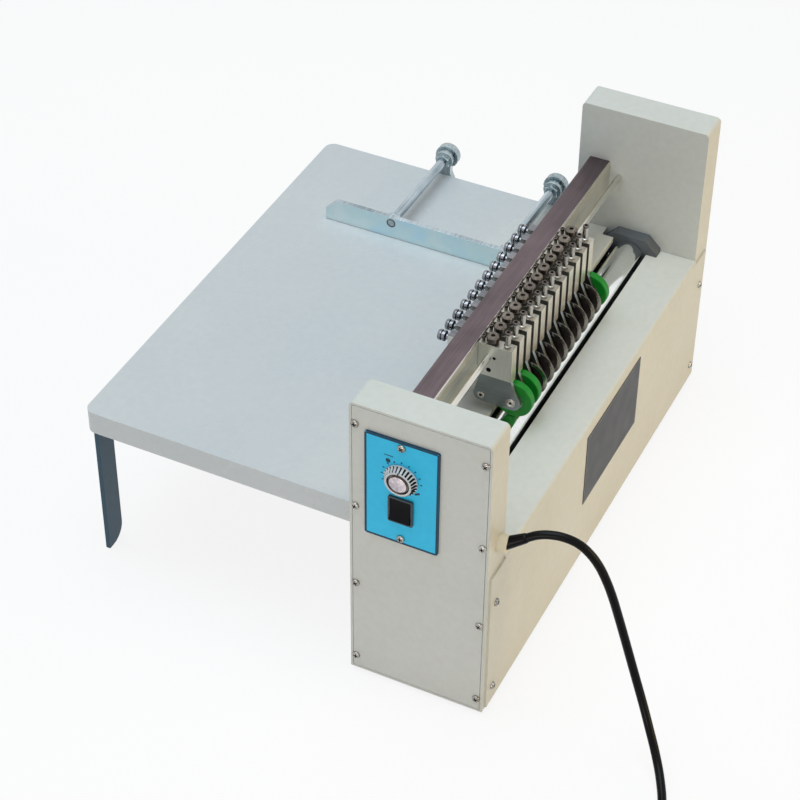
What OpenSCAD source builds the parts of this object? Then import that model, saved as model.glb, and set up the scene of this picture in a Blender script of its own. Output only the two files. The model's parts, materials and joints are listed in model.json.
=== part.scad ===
// Motor-driven label slitter: two end housings carry a roller and a beam with twelve clamped disc holders,
// in front of a feed table with a sliding guide fence. Millimetres, +X along the roller, +Y towards the table.

/* [End housings] */
// Overall length over the two end housings
machine_w = 471; // [450:1:520]
// Thickness of each end housing
housing_t = 30; // [28:1:36]
// Depth of each end housing
housing_d = 115; // [112:1:125]
// Height of the end housings over the floor
housing_h = 282; // [275:1:310]
// Radius of the housings' top edges
housing_r = 4; // [3:0.5:8]
// Wall of the housings' rims
rim_t = 2; // [1.6:0.1:2.4]
// Thickness of the inner side plates
side_t = 4; // [3:0.5:5]
// Thickness of the flat end covers
cover_t = 2; // [1.5:0.1:2.5]
// Width of the groove round an end cover
cover_groove = 0.4; // [0.2:0.1:0.8]
// Height of the rubber feet
foot_h = 4; // [3:1:8]
// Diameter of the rubber feet
foot_d = 18; // [12:1:24]
// Distance of the feet from the housings' front and back
foot_edge = 20; // [14:1:30]
// Distance of the cover screws from the housings' front and back edges
screw_edge = 5; // [4.5:0.1:6]
// Height of the lowest cover screws
screw_low = 18; // [14:1:26]
// Distance of the highest cover screws from the top
screw_top = 19; // [14:1:26]

/* [Front and rear covers] */
// Sheet thickness of the covers
cover_sheet = 1.6; // [1:0.1:2]
// Bend radius of the covers
cover_bend = 3; // [2.5:0.1:5]
// Height of the delivery shelf
shelf_z = 151; // [146:1:156]
// Rear edge of the delivery shelf, from the housings' front
shelf_y = 37.2; // [34:0.1:40]
// Height of the front panel where it covers the housings
panel_top = 147; // [135:1:150]
// Distance of the front panel from the machine's ends
panel_short = 5; // [2:1:10]
// Front edge of the infeed flange, from the housings' front
infeed_y = 73; // [73:0.1:76]
// Depth of the turned-down lips along the roller
lip_h = 6; // [3:1:8]
// Height of the upper front screws
front_screw_high = 115; // [90:1:130]
// Height of the lower front screws
front_screw_low = 22; // [16:1:40]

/* [Feed table] */
// Height of the table top
table_z = 160; // [156:1:166]
// Width of the table
table_w = 428; // [415:1:450]
// Length of the table behind the housings
table_len = 251; // [235:1:300]
// Depth of the table's apron
apron_h = 21; // [16:1:30]
// Sheet thickness of the table
table_sheet = 1.8; // [1.2:0.1:2.2]
// Radius of the table's outer corners
table_r = 9; // [4:0.5:12]
// Width of the table legs
leg_w = 21; // [16:1:26]
// Thickness of the table legs
leg_t = 4; // [3:0.5:6]
// Radius at the inner foot of each leg
leg_r = 15; // [6:1:18]

/* [Roller and drive] */
// Diameter of the feed roller
roller_d = 28; // [24:0.5:29]
// Roller axis, from the housings' front
roller_y = 58; // [57:0.1:58]
// Height of the roller over the table top
roller_rise = 0.4; // [0:0.1:1]
// Diameter of the roller shaft
shaft_d = 12; // [8:0.5:14]
// Radial clearance of running shafts
run_fit = 0.06; // [0.03:0.01:0.1]
// Thickness of the bearing blocks
block_t = 11; // [8:1:14]
// Width of the bearing blocks
block_w = 51; // [44:1:56]
// Height of the bearing blocks over the table top
block_rise = 5; // [3:1:7]
// Depth of the bearing blocks under the table top
block_drop = 32; // [30:1:36]
// Chamfer of the bearing blocks' upper corners
block_chamfer = 11; // [6:1:13]
// Gear module
gear_m = 1.5; // [1.4:0.05:1.6]
// Teeth of the gear on the roller
roller_teeth = 44; // [40:1:46]
// Teeth of the motor pinion
pinion_teeth = 32; // [30:1:34]
// Width of the gears
gear_w = 7; // [5:0.5:8]
// Play between meshing teeth
backlash = 0.4; // [0.3:0.05:0.6]
// Diameter of the motor's output shaft
motor_shaft_d = 8; // [6:0.5:10]
// Side of the square gearbox
gearbox_w = 60; // [50:1:64]
// Length of the gearbox
gearbox_len = 36; // [28:1:45]
// Diameter of the motor body
motor_d = 56; // [44:1:58]
// Length of the motor body
motor_len = 82; // [60:1:110]

/* [Blade row] */
// Front face of the beam, from the housings' front
beam_y = 85.5; // [84:0.5:88]
// Depth of the beam
beam_w = 19.4; // [16:0.2:21]
// Height of the beam's section
beam_h = 34; // [30:1:38]
// Height of the beam's top
beam_top = 230.2; // [228:0.2:236]
// Chamfer of the beam's edges
beam_chamfer = 0.8; // [0.4:0.1:1.5]
// Diameter of the guide rod in front of the beam
rod_d = 5.5; // [4:0.5:7]
// Distance of the guide rod from the beam's front face
rod_gap = 9; // [7:0.5:11]
// Depth of the guide rod under the beam's top
rod_drop = 13.7; // [11:0.1:17]
// Distance between neighbouring holders
pitch = 14.35; // [14.1:0.05:15]
// Middle of the row of holders
row_x = 12.9; // [-10:0.1:20]
// Width of a holder
holder_w = 9; // [8:0.1:9.5]
// Depth of a holder in front of the beam
holder_d = 29; // [26:0.5:32]
// Distance of a holder's top under the beam's top
holder_drop = 1.7; // [0.5:0.1:3]
// Thickness of the saddle under the beam
saddle_t = 7; // [5:0.5:8]
// Thickness of the rear lug
lug_t = 7; // [5:0.5:9]
// Clearance between a holder and the beam
beam_fit = 0.15; // [0.1:0.05:0.3]
// Thickness of a holder's arm plate
arm_t = 3; // [2:0.2:3.4]
// Distance of the disc axis in front of the roller axis
disc_lead = 2.5; // [1:0.1:4]
// Diameter of the disc blades and press wheels
disc_d = 33; // [30:0.5:34]
// Gap between a disc and the roller, for the label's liner
nip_gap = 0.35; // [0.3:0.05:0.6]
// Thickness of a disc blade
blade_t = 1.4; // [0.8:0.1:2]
// Width of a blade's hub
hub_w = 5; // [3:0.5:6]
// Diameter of a disc's hub
hub_d = 13; // [11:0.5:16]
// Width of a press wheel
wheel_w = 7; // [5:0.1:7.2]
// Thickness of a press wheel's tyre
tyre_t = 6.5; // [4:0.5:8]
// Diameter of the discs' axle bolts
axle_d = 5; // [4:0.5:6]
// Diameter of the depth knobs on the holders
depth_knob_d = 10.6; // [8:0.1:11]
// Diameter of the thumb screws' heads
thumb_d = 9; // [7:0.1:10]
// Length of the thumb screws' heads
thumb_len = 7; // [5:0.5:9]
// Depth of the thumb screws' axis under the beam's top
thumb_drop = 10; // [8:0.5:14]

/* [Speed control] */
// Width of the control panel
panel_w = 60.8; // [56:0.1:66]
// Height of the control panel
panel_h = 101.5; // [96:0.5:106]
// Thickness of the control panel
panel_t = 2; // [1.5:0.1:3]
// Panel's centre line, from the housings' front
panel_y = 71; // [60:0.5:74]
// Panel's centre under the housings' top
panel_drop = 71.7; // [62:0.1:82]
// Depth of the control box behind the panel
control_d = 16; // [13:0.5:17]
// Width of the control box
control_w = 52; // [46:1:54]
// Height of the control box
control_h = 80; // [74:1:82]
// Distance of the panel screws from the panel's centre
panel_screw = 45.3; // [44.5:0.1:47]
// Knob's height over the panel's centre
knob_rise = 14.7; // [12:0.1:17]
// Diameter of the speed knob
knob_d = 27.5; // [22:0.5:30]
// Height of the speed knob
knob_h = 6; // [5:0.5:9]
// Flutes round the speed knob
knob_flutes = 20; // [12:1:24]
// Diameter of the knob's spindle
spindle_d = 6; // [4:0.5:8]
// Switch's depth under the panel's centre
switch_drop = 16.3; // [15:0.1:18]
// Width of the switch bezel
bezel_w = 20.5; // [18:0.5:23]
// Height of the switch bezel
bezel_h = 25; // [24:0.5:27]
// Rim of the switch bezel
bezel_rim = 1.6; // [1.2:0.1:2]
// Tilt of the rocker
rocker_tilt = 9; // [6:1:11]

/* [Guide fence] */
// Fence's guiding face, from the machine's middle
fence_x = 105.5; // [90:0.5:115]
// Front end of the fence behind the housings
fence_front = 10; // [4:1:20]
// Length of the fence
fence_len = 188; // [150:1:205]
// Height of the fence
fence_h = 21; // [18:0.5:26]
// Thickness of the fence
fence_t = 4.5; // [3:0.5:6]
// Chamfer at the fence's rear top corner
fence_chamfer = 10; // [4:1:12]
// Gap under the fence
fence_gap = 0.4; // [0.3:0.1:1]
// Diameter of the fence rods
guide_d = 8; // [6:0.5:9]
// Height of the fence rods over the table
guide_rise = 15.5; // [13:0.5:17]
// First fence rod, behind the housings
guide_y1 = 26.5; // [22:0.5:50]
// Second fence rod, behind the housings
guide_y2 = 133.5; // [110:0.5:150]
// Width of a guide post's round head
post_w = 17; // [15:0.5:20]
// Width of a guide post's foot on the table's side
post_foot = 24; // [20:1:30]
// Thickness of a guide post
post_t = 6; // [5:0.5:8]
// Diameter of the lock knobs
lock_d = 22; // [18:0.5:24]
// Length of the lock knobs
lock_h = 8.5; // [6:0.5:11]
// Diameter of the posts' sleeves in the lock knobs
sleeve_d = 12; // [11:0.5:14]

/* [Power cord] */
// Diameter of the cord
cord_d = 7; // [6:0.5:7]
// Height of the cord gland
gland_z = 172.5; // [165:0.5:173]
// Length of the gland's tapered sleeve
sleeve_len = 17; // [16:0.5:20]
// Diameter of the gland's collar
gland_d = 15; // [13:0.5:18]
// Turns of the stored coil in each of its two layers
coil_turns = 3; // [2:1:3]
// Distance between neighbouring turns
coil_pitch = 7.7; // [7.5:0.1:9]
// Outer radius of the coil, at the cord's middle
coil_r = 50; // [48:1:54]
// Length of the plug's body
plug_len = 34; // [28:1:40]
// Width of the plug's body
plug_w = 26; // [22:1:32]

/* [Hidden] */
$fn = 48;
STATIONS = 12;
WHEEL_STATIONS = [0, 1, 11];

// Paint and metal colours
WARM_GREY = "#cfd0cb";
TABLE_GREY = "#c6ccd2";
DARK_STEEL = "#6a6062";
NICKEL = "#c9c6be";
ZINC = "#b3c3cc";

// Small joints, screws and cuts that many pieces share
seat_gap = 0.3;
joint_gap = 0.04;
cut = 1;
screw_d = 3;
screw_fit = 0.06;
screw_len = 7;
head_d = 5.6;
head_h = 2.2;
boss_d = 7;
hole_play = 2;

// Faces along X
x_out = machine_w / 2;
x_in = x_out - housing_t;
gear_gap = 1.5;
x_gear = x_in + side_t + gear_gap;
x_shelf = x_in - seat_gap;
x_panel = x_out - panel_short;
x_roller = x_in - block_t - 2 * seat_gap;

// Roller, drive and disc axes
roller_r = roller_d / 2;
roller_z = table_z + roller_rise - roller_r;
gear_distance = gear_m * (roller_teeth + pinion_teeth) / 2;
motor_z = roller_z - gear_distance;
disc_r = disc_d / 2;
disc_y = roller_y - disc_lead;
disc_z = roller_z + sqrt(pow(roller_r + disc_r + nip_gap, 2) - disc_lead * disc_lead);

// Screws and arm of a holder
depth_knob_lead = 1.5;
depth_stem_d = 4;
stem_depth = 7;
lock_screw_in = 6;
lock_head_d = 5.5;
lock_head_h = 3;
thumb_stem_d = 5;
thumb_neck = 3;
knob_neck = 1.5;
depth_knob_h = 5.5;
pivot_in = 4;
pivot_drop = 0.8;
arm_seat = 8;
lug_rise = 5;

// Beam, guide rod and holder faces
beam_z = beam_top - beam_h;
rod_y = beam_y - rod_gap;
rod_z = beam_top - rod_drop;
holder_back = beam_y - beam_fit;
holder_front = holder_back - holder_d;
holder_top = beam_top - holder_drop;
holder_bottom = beam_z - beam_fit - saddle_t;
arm_top = holder_bottom + arm_seat;
arm_back = holder_back - joint_gap;
lug_y = beam_y + beam_w + beam_fit;
thumb_z = beam_top - thumb_drop;
depth_knob_y = rod_y - depth_knob_lead;
lock_screw_y = holder_front + lock_screw_in;
pivot_y = holder_back - pivot_in;
pivot_z = disc_z - pivot_drop;
arm_nose = 8;
arm_heel = 7;
bolt_head_h = 1.2;
bolt_flange = 3;
disc_play = 1;
disc_low = arm_t - holder_w / 2 + seat_gap;

// Control panel
panel_z = housing_h - panel_drop;
knob_z = panel_z + knob_rise;
switch_z = panel_z - switch_drop;
knob_skirt = 0.4;
knob_cap = 1.5;
spindle_short = 5;
box_floor = 3;
bezel_lip = 1;
bezel_h_out = 2;
rocker_side_gap = 0.4;
rocker_end_gap = 1.2;
rocker_sink = 1.6;
rocker_pin_d = 2.6;
rocker_w = bezel_w - 2 * (bezel_rim + rocker_side_gap);
rocker_half = bezel_h / 2 - bezel_rim - rocker_end_gap;
x_face = x_out + panel_t;
rocker_x = -x_face + rocker_sink;

// Table and fence
table_back = housing_d + table_len;
leg_edge = table_w / 2 - table_r;
leg_y = table_back - table_sheet;
fence_z = table_z + fence_gap;
fence_y = housing_d + fence_front;
guide_z = table_z + guide_rise;
guide_ys = [housing_d + guide_y1, housing_d + guide_y2];
post_nut = 4;
post_x = table_w / 2;
post_low = table_z - apron_h + 3;
post_waist = 13;
post_screw_z = table_z - apron_h / 2;
lock_x = post_x + post_t + seat_gap;
rod_recess = 0.8;
rod_stub = 2;
rod_collar = 4;

// Gland and cord route: the points of the free stretch are chosen by hand, from the gland to the coil
gland_x = 215;
gland_lift = 23.6;
gland_swing = 21.8;
gland_neck_d = 10;
cord_points = [[-209.08, -18.41, 179.47], [-206, -26.1, 183.05], [-203, -36.2, 184.9], [-200.5, -46.5, 184],
    [-198.2, -56, 180], [-196.5, -64.5, 172.5], [-195.2, -72, 162], [-194.5, -78.5, 149], [-194.2, -84.5, 134],
    [-194.5, -90.5, 117], [-195.5, -97, 99], [-197.5, -104, 81], [-201, -112, 63], [-206.5, -121, 46],
    [-215, -131, 30.5], [-227, -142, 18], [-242.5, -152.5, 9.5], [-260.5, -161, 5.8], [-279.5, -166.5, 4.8],
    [-298, -169, 4.6], [-312, -170, 4.6], [-323, -170, 4.6]];
coil_start = [-330, -170, 4.6];
coil_centre = [coil_start[0], coil_start[1] - coil_r];
coil_rings = 24;
coil_rise = cord_d + 0.6;
coil_tail = 44;
cord_sides = 10;
coil_sides = 6;
plug_h = 2 * (coil_start[2] + coil_rise);
plug_sleeve = 20;

// The frame's origin: middle of the footprint, on the floor
x_low = -x_face - knob_skirt - knob_h - knob_cap;
x_high = x_out + head_h;
y_low = -cover_sheet - head_h;
y_high = table_back + head_h;
origin = [(x_low + x_high) / 2, (y_low + y_high) / 2, 0];
echo(origin = origin, roller = [roller_y, roller_z], motor = [roller_y, motor_z], disc = [disc_y, disc_z]);

function station_x(i) = row_x + (i - (STATIONS - 1) / 2) * pitch;
function station_name(i) = str(i < 9 ? "0" : "", i + 1);
function has_wheel(i) = len(search(i, WHEEL_STATIONS)) > 0;
function disc_name(i) = str(has_wheel(i) ? "press_wheel_" : "blade_", station_name(i));
function arc(centre, r, from, to, steps = 6) =
    [for (k = [0:steps]) let (a = from + (to - from) * k / steps) centre + r * [cos(a), sin(a)]];
function unit(v) = v / norm(v);

module placed() {
    translate(-origin) children();
}

// A flat shape drawn in Y and Z, pulled along X
module pull_x(from, to) {
    translate([from, 0, 0]) rotate([90, 0, 90]) linear_extrude(to - from) children();
}

// A flat shape drawn in X and Z, pulled along Y
module pull_y(from, to) {
    translate([0, to, 0]) rotate([90, 0, 0]) linear_extrude(to - from) children();
}

// A flat shape drawn in X and Y, pulled along Z
module pull_z(from, to) {
    translate([0, 0, from]) linear_extrude(to - from) children();
}

module rod_along_x(from, to, d, y, z) {
    translate([from, y, z]) rotate([0, 90, 0]) cylinder(h = to - from, d = d);
}

module rod_along_y(from, to, d, x, z) {
    translate([x, from, z]) rotate([-90, 0, 0]) cylinder(h = to - from, d = d);
}

module rod_along_z(from, to, d, x, y) {
    translate([x, y, from]) cylinder(h = to - from, d = d);
}

module box(low, high) {
    translate(low) cube(high - low);
}

module round_rect(w, h, r) {
    square([w - 2 * r, h], center = true);
    square([w, h - 2 * r], center = true);
    for (x = [-1, 1], y = [-1, 1]) translate([x * (w / 2 - r), y * (h / 2 - r)]) circle(r = r);
}

module both_ends() {
    children();
    mirror([1, 0, 0]) children();
}

// A pan-head screw: head above the plane, shank below it
module pan_screw(length = screw_len) {
    cylinder(h = head_h * 0.6, d = head_d);
    translate([0, 0, head_h * 0.6]) cylinder(h = head_h * 0.4, d1 = head_d, d2 = head_d * 0.7);
    translate([0, 0, -length]) cylinder(h = length, d = screw_d);
}

// End housings

cover_screw_rows = [for (k = [0:3]) screw_low + (housing_h - screw_top - screw_low) * k / 3];
cover_screw_places = [for (y = [screw_edge, housing_d - screw_edge], z = cover_screw_rows) [y, z]];
front_screw_places = [for (s = [-1, 1], z = [front_screw_low, front_screw_high]) [s * (x_out - housing_t / 2), z]];

module housing_outline(inset = 0) {
    straight = housing_h - housing_r - foot_h - inset;
    translate([inset, foot_h + inset]) square([housing_d - 2 * inset, straight]);
    translate([housing_r, foot_h + inset]) square([housing_d - 2 * housing_r, housing_h - foot_h - 2 * inset]);
    for (y = [housing_r, housing_d - housing_r])
        translate([y, housing_h - housing_r]) circle(r = housing_r - inset);
}

// The far housing: a rim, an inner side plate and a boss behind each cover screw
module housing_shell() {
    difference() {
        union() {
            difference() {
                pull_x(x_in, x_out) housing_outline();
                pull_x(x_in + side_t, x_out + cut) housing_outline(rim_t);
            }
            for (p = cover_screw_places) rod_along_x(x_in + side_t / 2, x_out - cover_t, boss_d, p[0], p[1]);
        }
        for (p = cover_screw_places)
            rod_along_x(x_out - cover_t - screw_len, x_out, screw_d + 2 * screw_fit, p[0], p[1]);
        for (p = front_screw_places)
            rod_along_y(-cut, screw_len + cut, screw_d + 2 * screw_fit, p[0], p[1]);
        rod_along_x(x_in - cut, x_in + side_t + cut, shaft_d + hole_play, roller_y, roller_z);
    }
}

module near_housing() {
    color(WARM_GREY) difference() {
        mirror([1, 0, 0]) housing_shell();
        rod_along_x(-x_in - side_t - cut, -x_in + cut, motor_shaft_d + hole_play, roller_y, motor_z);
        rod_along_y(-cut, rim_t + cut, gland_neck_d + 2 * screw_fit, -gland_x, gland_z);
    }
}

module far_housing() {
    color(WARM_GREY) housing_shell();
}

module end_cover() {
    difference() {
        pull_x(x_out - cover_t, x_out) housing_outline(rim_t + cover_groove);
        for (p = cover_screw_places)
            rod_along_x(x_out - cover_t - cut, x_out + cut, screw_d + 2 * screw_fit, p[0], p[1]);
    }
}

module near_end_cover() {
    color(WARM_GREY) difference() {
        mirror([1, 0, 0]) end_cover();
        pull_x(-x_out - cut, -x_out + cover_t + cut) translate([panel_y, panel_z])
            square([control_w + 2 * seat_gap, control_h + 2 * seat_gap], center = true);
        for (z = [-1, 1])
            rod_along_x(-x_out - cut, -x_out + cover_t + cut, screw_d + 2 * screw_fit, panel_y,
                panel_z + z * panel_screw);
    }
}

module far_end_cover() {
    color(WARM_GREY) end_cover();
}

module cover_screws() {
    color(NICKEL) {
        both_ends() for (p = cover_screw_places) translate([x_out, p[0], p[1]]) rotate([0, 90, 0]) pan_screw();
        for (p = front_screw_places) translate([p[0], -cover_sheet, p[1]]) rotate([90, 0, 0]) pan_screw();
    }
}

module rubber_feet() {
    color("#2a2a2a") for (x = [-1, 1], y = [foot_edge, housing_d - foot_edge])
        rod_along_z(0, foot_h, foot_d, x * (x_out - housing_t / 2), y);
}

// Covers between the housings

// Room for a bearing block in a cover's lip
module block_notches() {
    both_ends() box([x_in - block_t - seat_gap, roller_y - block_w / 2 - seat_gap, table_z - block_drop - cut],
        [x_out, roller_y + block_w / 2 + seat_gap, table_z + block_rise + cut]);
}

// Section of the front cover: up from the panel, round the bend, back along the shelf and down the lip
module shelf_section() {
    bend = [cover_bend - cover_sheet, shelf_z - cover_bend];
    polygon(concat(
        [[-cover_sheet, panel_top - 2 * cover_bend]],
        arc(bend, cover_bend, 180, 90),
        [[shelf_y, shelf_z], [shelf_y, shelf_z - lip_h], [shelf_y - cover_sheet, shelf_z - lip_h],
            [shelf_y - cover_sheet, shelf_z - cover_sheet]],
        arc(bend, cover_bend - cover_sheet, 90, 180),
        [[0, panel_top - 2 * cover_bend]]));
}

module front_cover() {
    color(WARM_GREY) difference() {
        union() {
            box([-x_panel, -cover_sheet, foot_h + cover_sheet], [x_panel, 0, panel_top]);
            pull_x(-x_shelf, x_shelf) shelf_section();
        }
        block_notches();
        for (p = front_screw_places)
            rod_along_y(-cover_sheet - cut, cut, screw_d + 2 * screw_fit, p[0], p[1]);
    }
}

// Section of the rear cover: infeed flange with its lip, bend and back panel
module infeed_section() {
    bend = [housing_d - cover_bend, table_z - cover_bend];
    polygon(concat(
        [[infeed_y, table_z - lip_h], [infeed_y, table_z]],
        arc(bend, cover_bend, 90, 0),
        [[housing_d, foot_h], [housing_d - cover_sheet, foot_h]],
        arc(bend, cover_bend - cover_sheet, 0, 90),
        [[infeed_y + cover_sheet, table_z - cover_sheet], [infeed_y + cover_sheet, table_z - lip_h]]));
}

module rear_cover() {
    color(WARM_GREY) difference() {
        pull_x(-x_shelf, x_shelf) infeed_section();
        block_notches();
    }
}

module base_plate() {
    color("#9a9c9c")
        box([-x_shelf, 0, foot_h], [x_shelf, housing_d - cover_sheet, foot_h + cover_sheet]);
}

// Feed table

module table_outline(inset = 0) {
    half = table_w / 2 - inset;
    r = table_r - inset;
    polygon(concat(
        [[-half, housing_d + inset], [half, housing_d + inset]],
        r > 0 ? arc([half - r, table_back - inset - r], r, 0, 90) : [[half, table_back - inset]],
        r > 0 ? arc([r - half, table_back - inset - r], r, 90, 180) : [[-half, table_back - inset]]));
}

leg_screw_places = [for (s = [-1, 1], k = [0.3, 0.7])
    [s * (leg_edge - leg_w / 2), table_z - apron_h * k]];

module feed_table() {
    color(TABLE_GREY) difference() {
        pull_z(table_z - apron_h, table_z) table_outline();
        pull_z(table_z - apron_h - cut, table_z - table_sheet) table_outline(table_sheet);
        for (p = leg_screw_places)
            rod_along_y(leg_y - cut, table_back + cut, screw_d + 2 * screw_fit, p[0], p[1]);
        for (y = guide_ys)
            rod_along_x(post_x - table_sheet - cut, post_x + cut, screw_d + 2 * screw_fit, y, post_screw_z);
    }
}

// A leg's face in X and Z: a strip with a rounded inner foot
module leg_outline() {
    inner = leg_edge - leg_w;
    polygon(concat(
        [[leg_edge, 0], [leg_edge, table_z - table_sheet], [inner, table_z - table_sheet]],
        arc([inner + leg_r, leg_r], leg_r, 180, 270)));
}

module table_legs() {
    color("#3a4a55") difference() {
        both_ends() pull_y(leg_y - leg_t, leg_y) leg_outline();
        for (p = leg_screw_places)
            rod_along_y(leg_y - leg_t - cut, leg_y + cut, screw_d + 2 * screw_fit, p[0], p[1]);
    }
}

// Screws of the legs, and of the guide posts on the table's side
module leg_screws() {
    color(NICKEL) {
        for (p = leg_screw_places)
            translate([p[0], table_back, p[1]]) rotate([-90, 0, 0]) pan_screw(table_sheet + leg_t);
        for (y = guide_ys)
            translate([post_x + post_t, y, post_screw_z]) rotate([0, 90, 0]) pan_screw(post_t + table_sheet);
    }
}

// Beam, guide rod and roller

module blade_beam() {
    c = beam_chamfer;
    color(DARK_STEEL) pull_x(-x_in, x_in) translate([beam_y, beam_z]) polygon([
        [c, 0], [beam_w - c, 0], [beam_w, c], [beam_w, beam_h - c],
        [beam_w - c, beam_h], [c, beam_h], [0, beam_h - c], [0, c]]);
}

module guide_rod() {
    color(NICKEL) rod_along_x(-x_in, x_in, rod_d, rod_y, rod_z);
}

module feed_roller() {
    color("#d5d8d8") {
        rod_along_x(-x_roller, x_roller, roller_d, roller_y, roller_z);
        rod_along_x(x_roller, x_in, shaft_d, roller_y, roller_z);
        rod_along_x(-x_gear - gear_w - 2, -x_roller, shaft_d, roller_y, roller_z);
    }
}

module block_outline() {
    low = table_z - block_drop;
    high = table_z + block_rise;
    side = block_w / 2;
    polygon([[-side, low], [side, low], [side, high - block_chamfer], [side - block_chamfer, high],
        [block_chamfer - side, high], [-side, high - block_chamfer]]);
}

module bearing_blocks() {
    color("#4a4b50") both_ends() difference() {
        pull_x(x_in - block_t, x_in) translate([roller_y, 0]) block_outline();
        rod_along_x(x_in - block_t - cut, x_in + cut, shaft_d + 2 * run_fit, roller_y, roller_z);
    }
}

// Drive gears: involute teeth, one tooth of the upper gear between two of the lower one

PRESSURE = 20;
flank_steps = 4;

function roll_angle(r, base) = let (t = sqrt(max(0, pow(r / base, 2) - 1))) t * 180 / PI - atan(t);

function gear_points(teeth) =
    let (rp = gear_m * teeth / 2, base = rp * cos(PRESSURE), root = rp - 1.25 * gear_m, tip = rp + gear_m,
        start = max(base, root), half = 90 / teeth - backlash / 4 / rp * 180 / PI + roll_angle(rp, base),
        radii = [for (k = [0:flank_steps]) start + (tip - start) * k / flank_steps],
        flank = [for (r = radii) [r, half - roll_angle(r, base)]],
        side = concat([[root, flank[0][1]]], flank))
    [for (k = [0:teeth - 1], s = [-1, 1], i = [0:len(side) - 1])
        let (p = s < 0 ? side[i] : side[len(side) - 1 - i], a = 360 * k / teeth + s * p[1])
        p[0] * [cos(a), sin(a)]];

module gear_section(teeth, turn) {
    rotate(turn) polygon(gear_points(teeth));
}

module roller_gear() {
    color("#b9a15a") difference() {
        pull_x(-x_gear - gear_w, -x_gear) translate([roller_y, roller_z]) gear_section(roller_teeth, -90);
        rod_along_x(-x_gear - gear_w - cut, -x_gear + cut, shaft_d, roller_y, roller_z);
    }
}

module motor_pinion() {
    color("#9da1a4") {
        pull_x(-x_gear - gear_w, -x_gear) translate([roller_y, motor_z])
            gear_section(pinion_teeth, 90 + 180 / pinion_teeth);
        rod_along_x(-x_gear, -x_in + gearbox_len / 2, motor_shaft_d, roller_y, motor_z);
    }
}

module gear_motor() {
    x_box = -x_in + gearbox_len;
    color("#7c8084") difference() {
        union() {
            pull_x(-x_in, x_box) translate([roller_y, motor_z]) round_rect(gearbox_w, gearbox_w, 6);
            rod_along_x(x_box, x_box + motor_len, motor_d, roller_y, motor_z);
            rod_along_x(x_box + motor_len, x_box + motor_len + 6, motor_d - 10, roller_y, motor_z);
        }
        rod_along_x(-x_in - cut, -x_in + gearbox_len / 2 + cut, motor_shaft_d + 2 * run_fit, roller_y, motor_z);
    }
}

// Speed control on the near end cover

module switch_hole(play = 0) {
    square([bezel_w - 2 * (bezel_lip + play), bezel_h - 2 * (bezel_lip + play)], center = true);
}

module control_box() {
    color("#26282b") difference() {
        pull_x(-x_out, -x_out + control_d) translate([panel_y, panel_z]) round_rect(control_w, control_h, 2);
        rod_along_x(-x_out - cut, -x_out + control_d - box_floor, spindle_d + 2 * run_fit, panel_y, knob_z);
        pull_x(-x_out - cut, -x_out + control_d - box_floor) translate([panel_y, switch_z]) switch_hole();
    }
}

module speed_panel() {
    color("#3fb0dc") difference() {
        pull_x(-x_face, -x_out) translate([panel_y, panel_z]) round_rect(panel_w, panel_h, 2);
        rod_along_x(-x_face - cut, -x_out + cut, spindle_d + hole_play, panel_y, knob_z);
        pull_x(-x_face - cut, -x_out + cut) translate([panel_y, switch_z]) switch_hole();
        for (z = [-1, 1])
            rod_along_x(-x_face - cut, -x_out + cut, screw_d + 2 * screw_fit, panel_y, panel_z + z * panel_screw);
    }
}

module panel_screws() {
    color(NICKEL) for (z = [-1, 1])
        translate([-x_face, panel_y, panel_z + z * panel_screw]) rotate([0, -90, 0]) pan_screw(panel_t + cover_t);
}

// A fluted knob with a raised cap, on its spindle
module speed_knob() {
    flute_d = 2.6;
    spindle = panel_t + control_d - spindle_short;
    color("#d4dadd") translate([-x_face, panel_y, knob_z]) rotate([0, -90, 0]) {
        difference() {
            translate([0, 0, knob_skirt]) cylinder(h = knob_h, d = knob_d);
            for (k = [0:knob_flutes - 1]) rotate(360 * k / knob_flutes)
                translate([knob_d / 2 + flute_d / 4, 0, knob_skirt + knob_cap]) cylinder(h = knob_h, d = flute_d, $fn = 16);
        }
        translate([0, 0, knob_skirt + knob_h]) cylinder(h = knob_cap, d = knob_d * 0.55);
        translate([0, 0, knob_skirt - spindle]) cylinder(h = spindle, d = spindle_d);
    }
}

module switch_bezel() {
    inner = -x_out + control_d - box_floor;
    back = 2;
    color("#1c1c1e") difference() {
        union() {
            pull_x(-x_face - bezel_h_out, -x_face) translate([panel_y, switch_z]) round_rect(bezel_w, bezel_h, 1.5);
            pull_x(-x_face, inner - seat_gap) translate([panel_y, switch_z]) switch_hole(screw_fit);
        }
        pull_x(-x_face - bezel_h_out - cut, inner - back) translate([panel_y, switch_z])
            square([bezel_w - 2 * bezel_rim, bezel_h - 2 * bezel_rim], center = true);
        rod_along_y(panel_y - bezel_w / 2, panel_y + bezel_w / 2, rocker_pin_d + 2 * run_fit, rocker_x, switch_z);
    }
}

// A rocker drawn level and set down at one end; its face dips to the middle, and its pins sit in the bezel's walls
module rocker_switch() {
    proud = 3;
    deep = 6;
    reach = rocker_half * tan(rocker_tilt);
    pin_half = bezel_w / 2 - bezel_lip - 2 * screw_fit;
    color("#2b2b2e") translate([rocker_x, 0, switch_z]) rotate([0, rocker_tilt, 0])
        pull_y(panel_y - rocker_w / 2, panel_y + rocker_w / 2) polygon([
            [-proud - reach, -rocker_half], [deep / 2, -rocker_half], [deep, -rocker_half / 2],
            [deep, rocker_half / 2], [deep / 2, rocker_half], [-proud - reach, rocker_half], [-proud, 0]]);
    color("#2b2b2e") rod_along_y(panel_y - pin_half, panel_y + pin_half, rocker_pin_d, rocker_x, switch_z);
}

// Guide fence on the feed table

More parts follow.
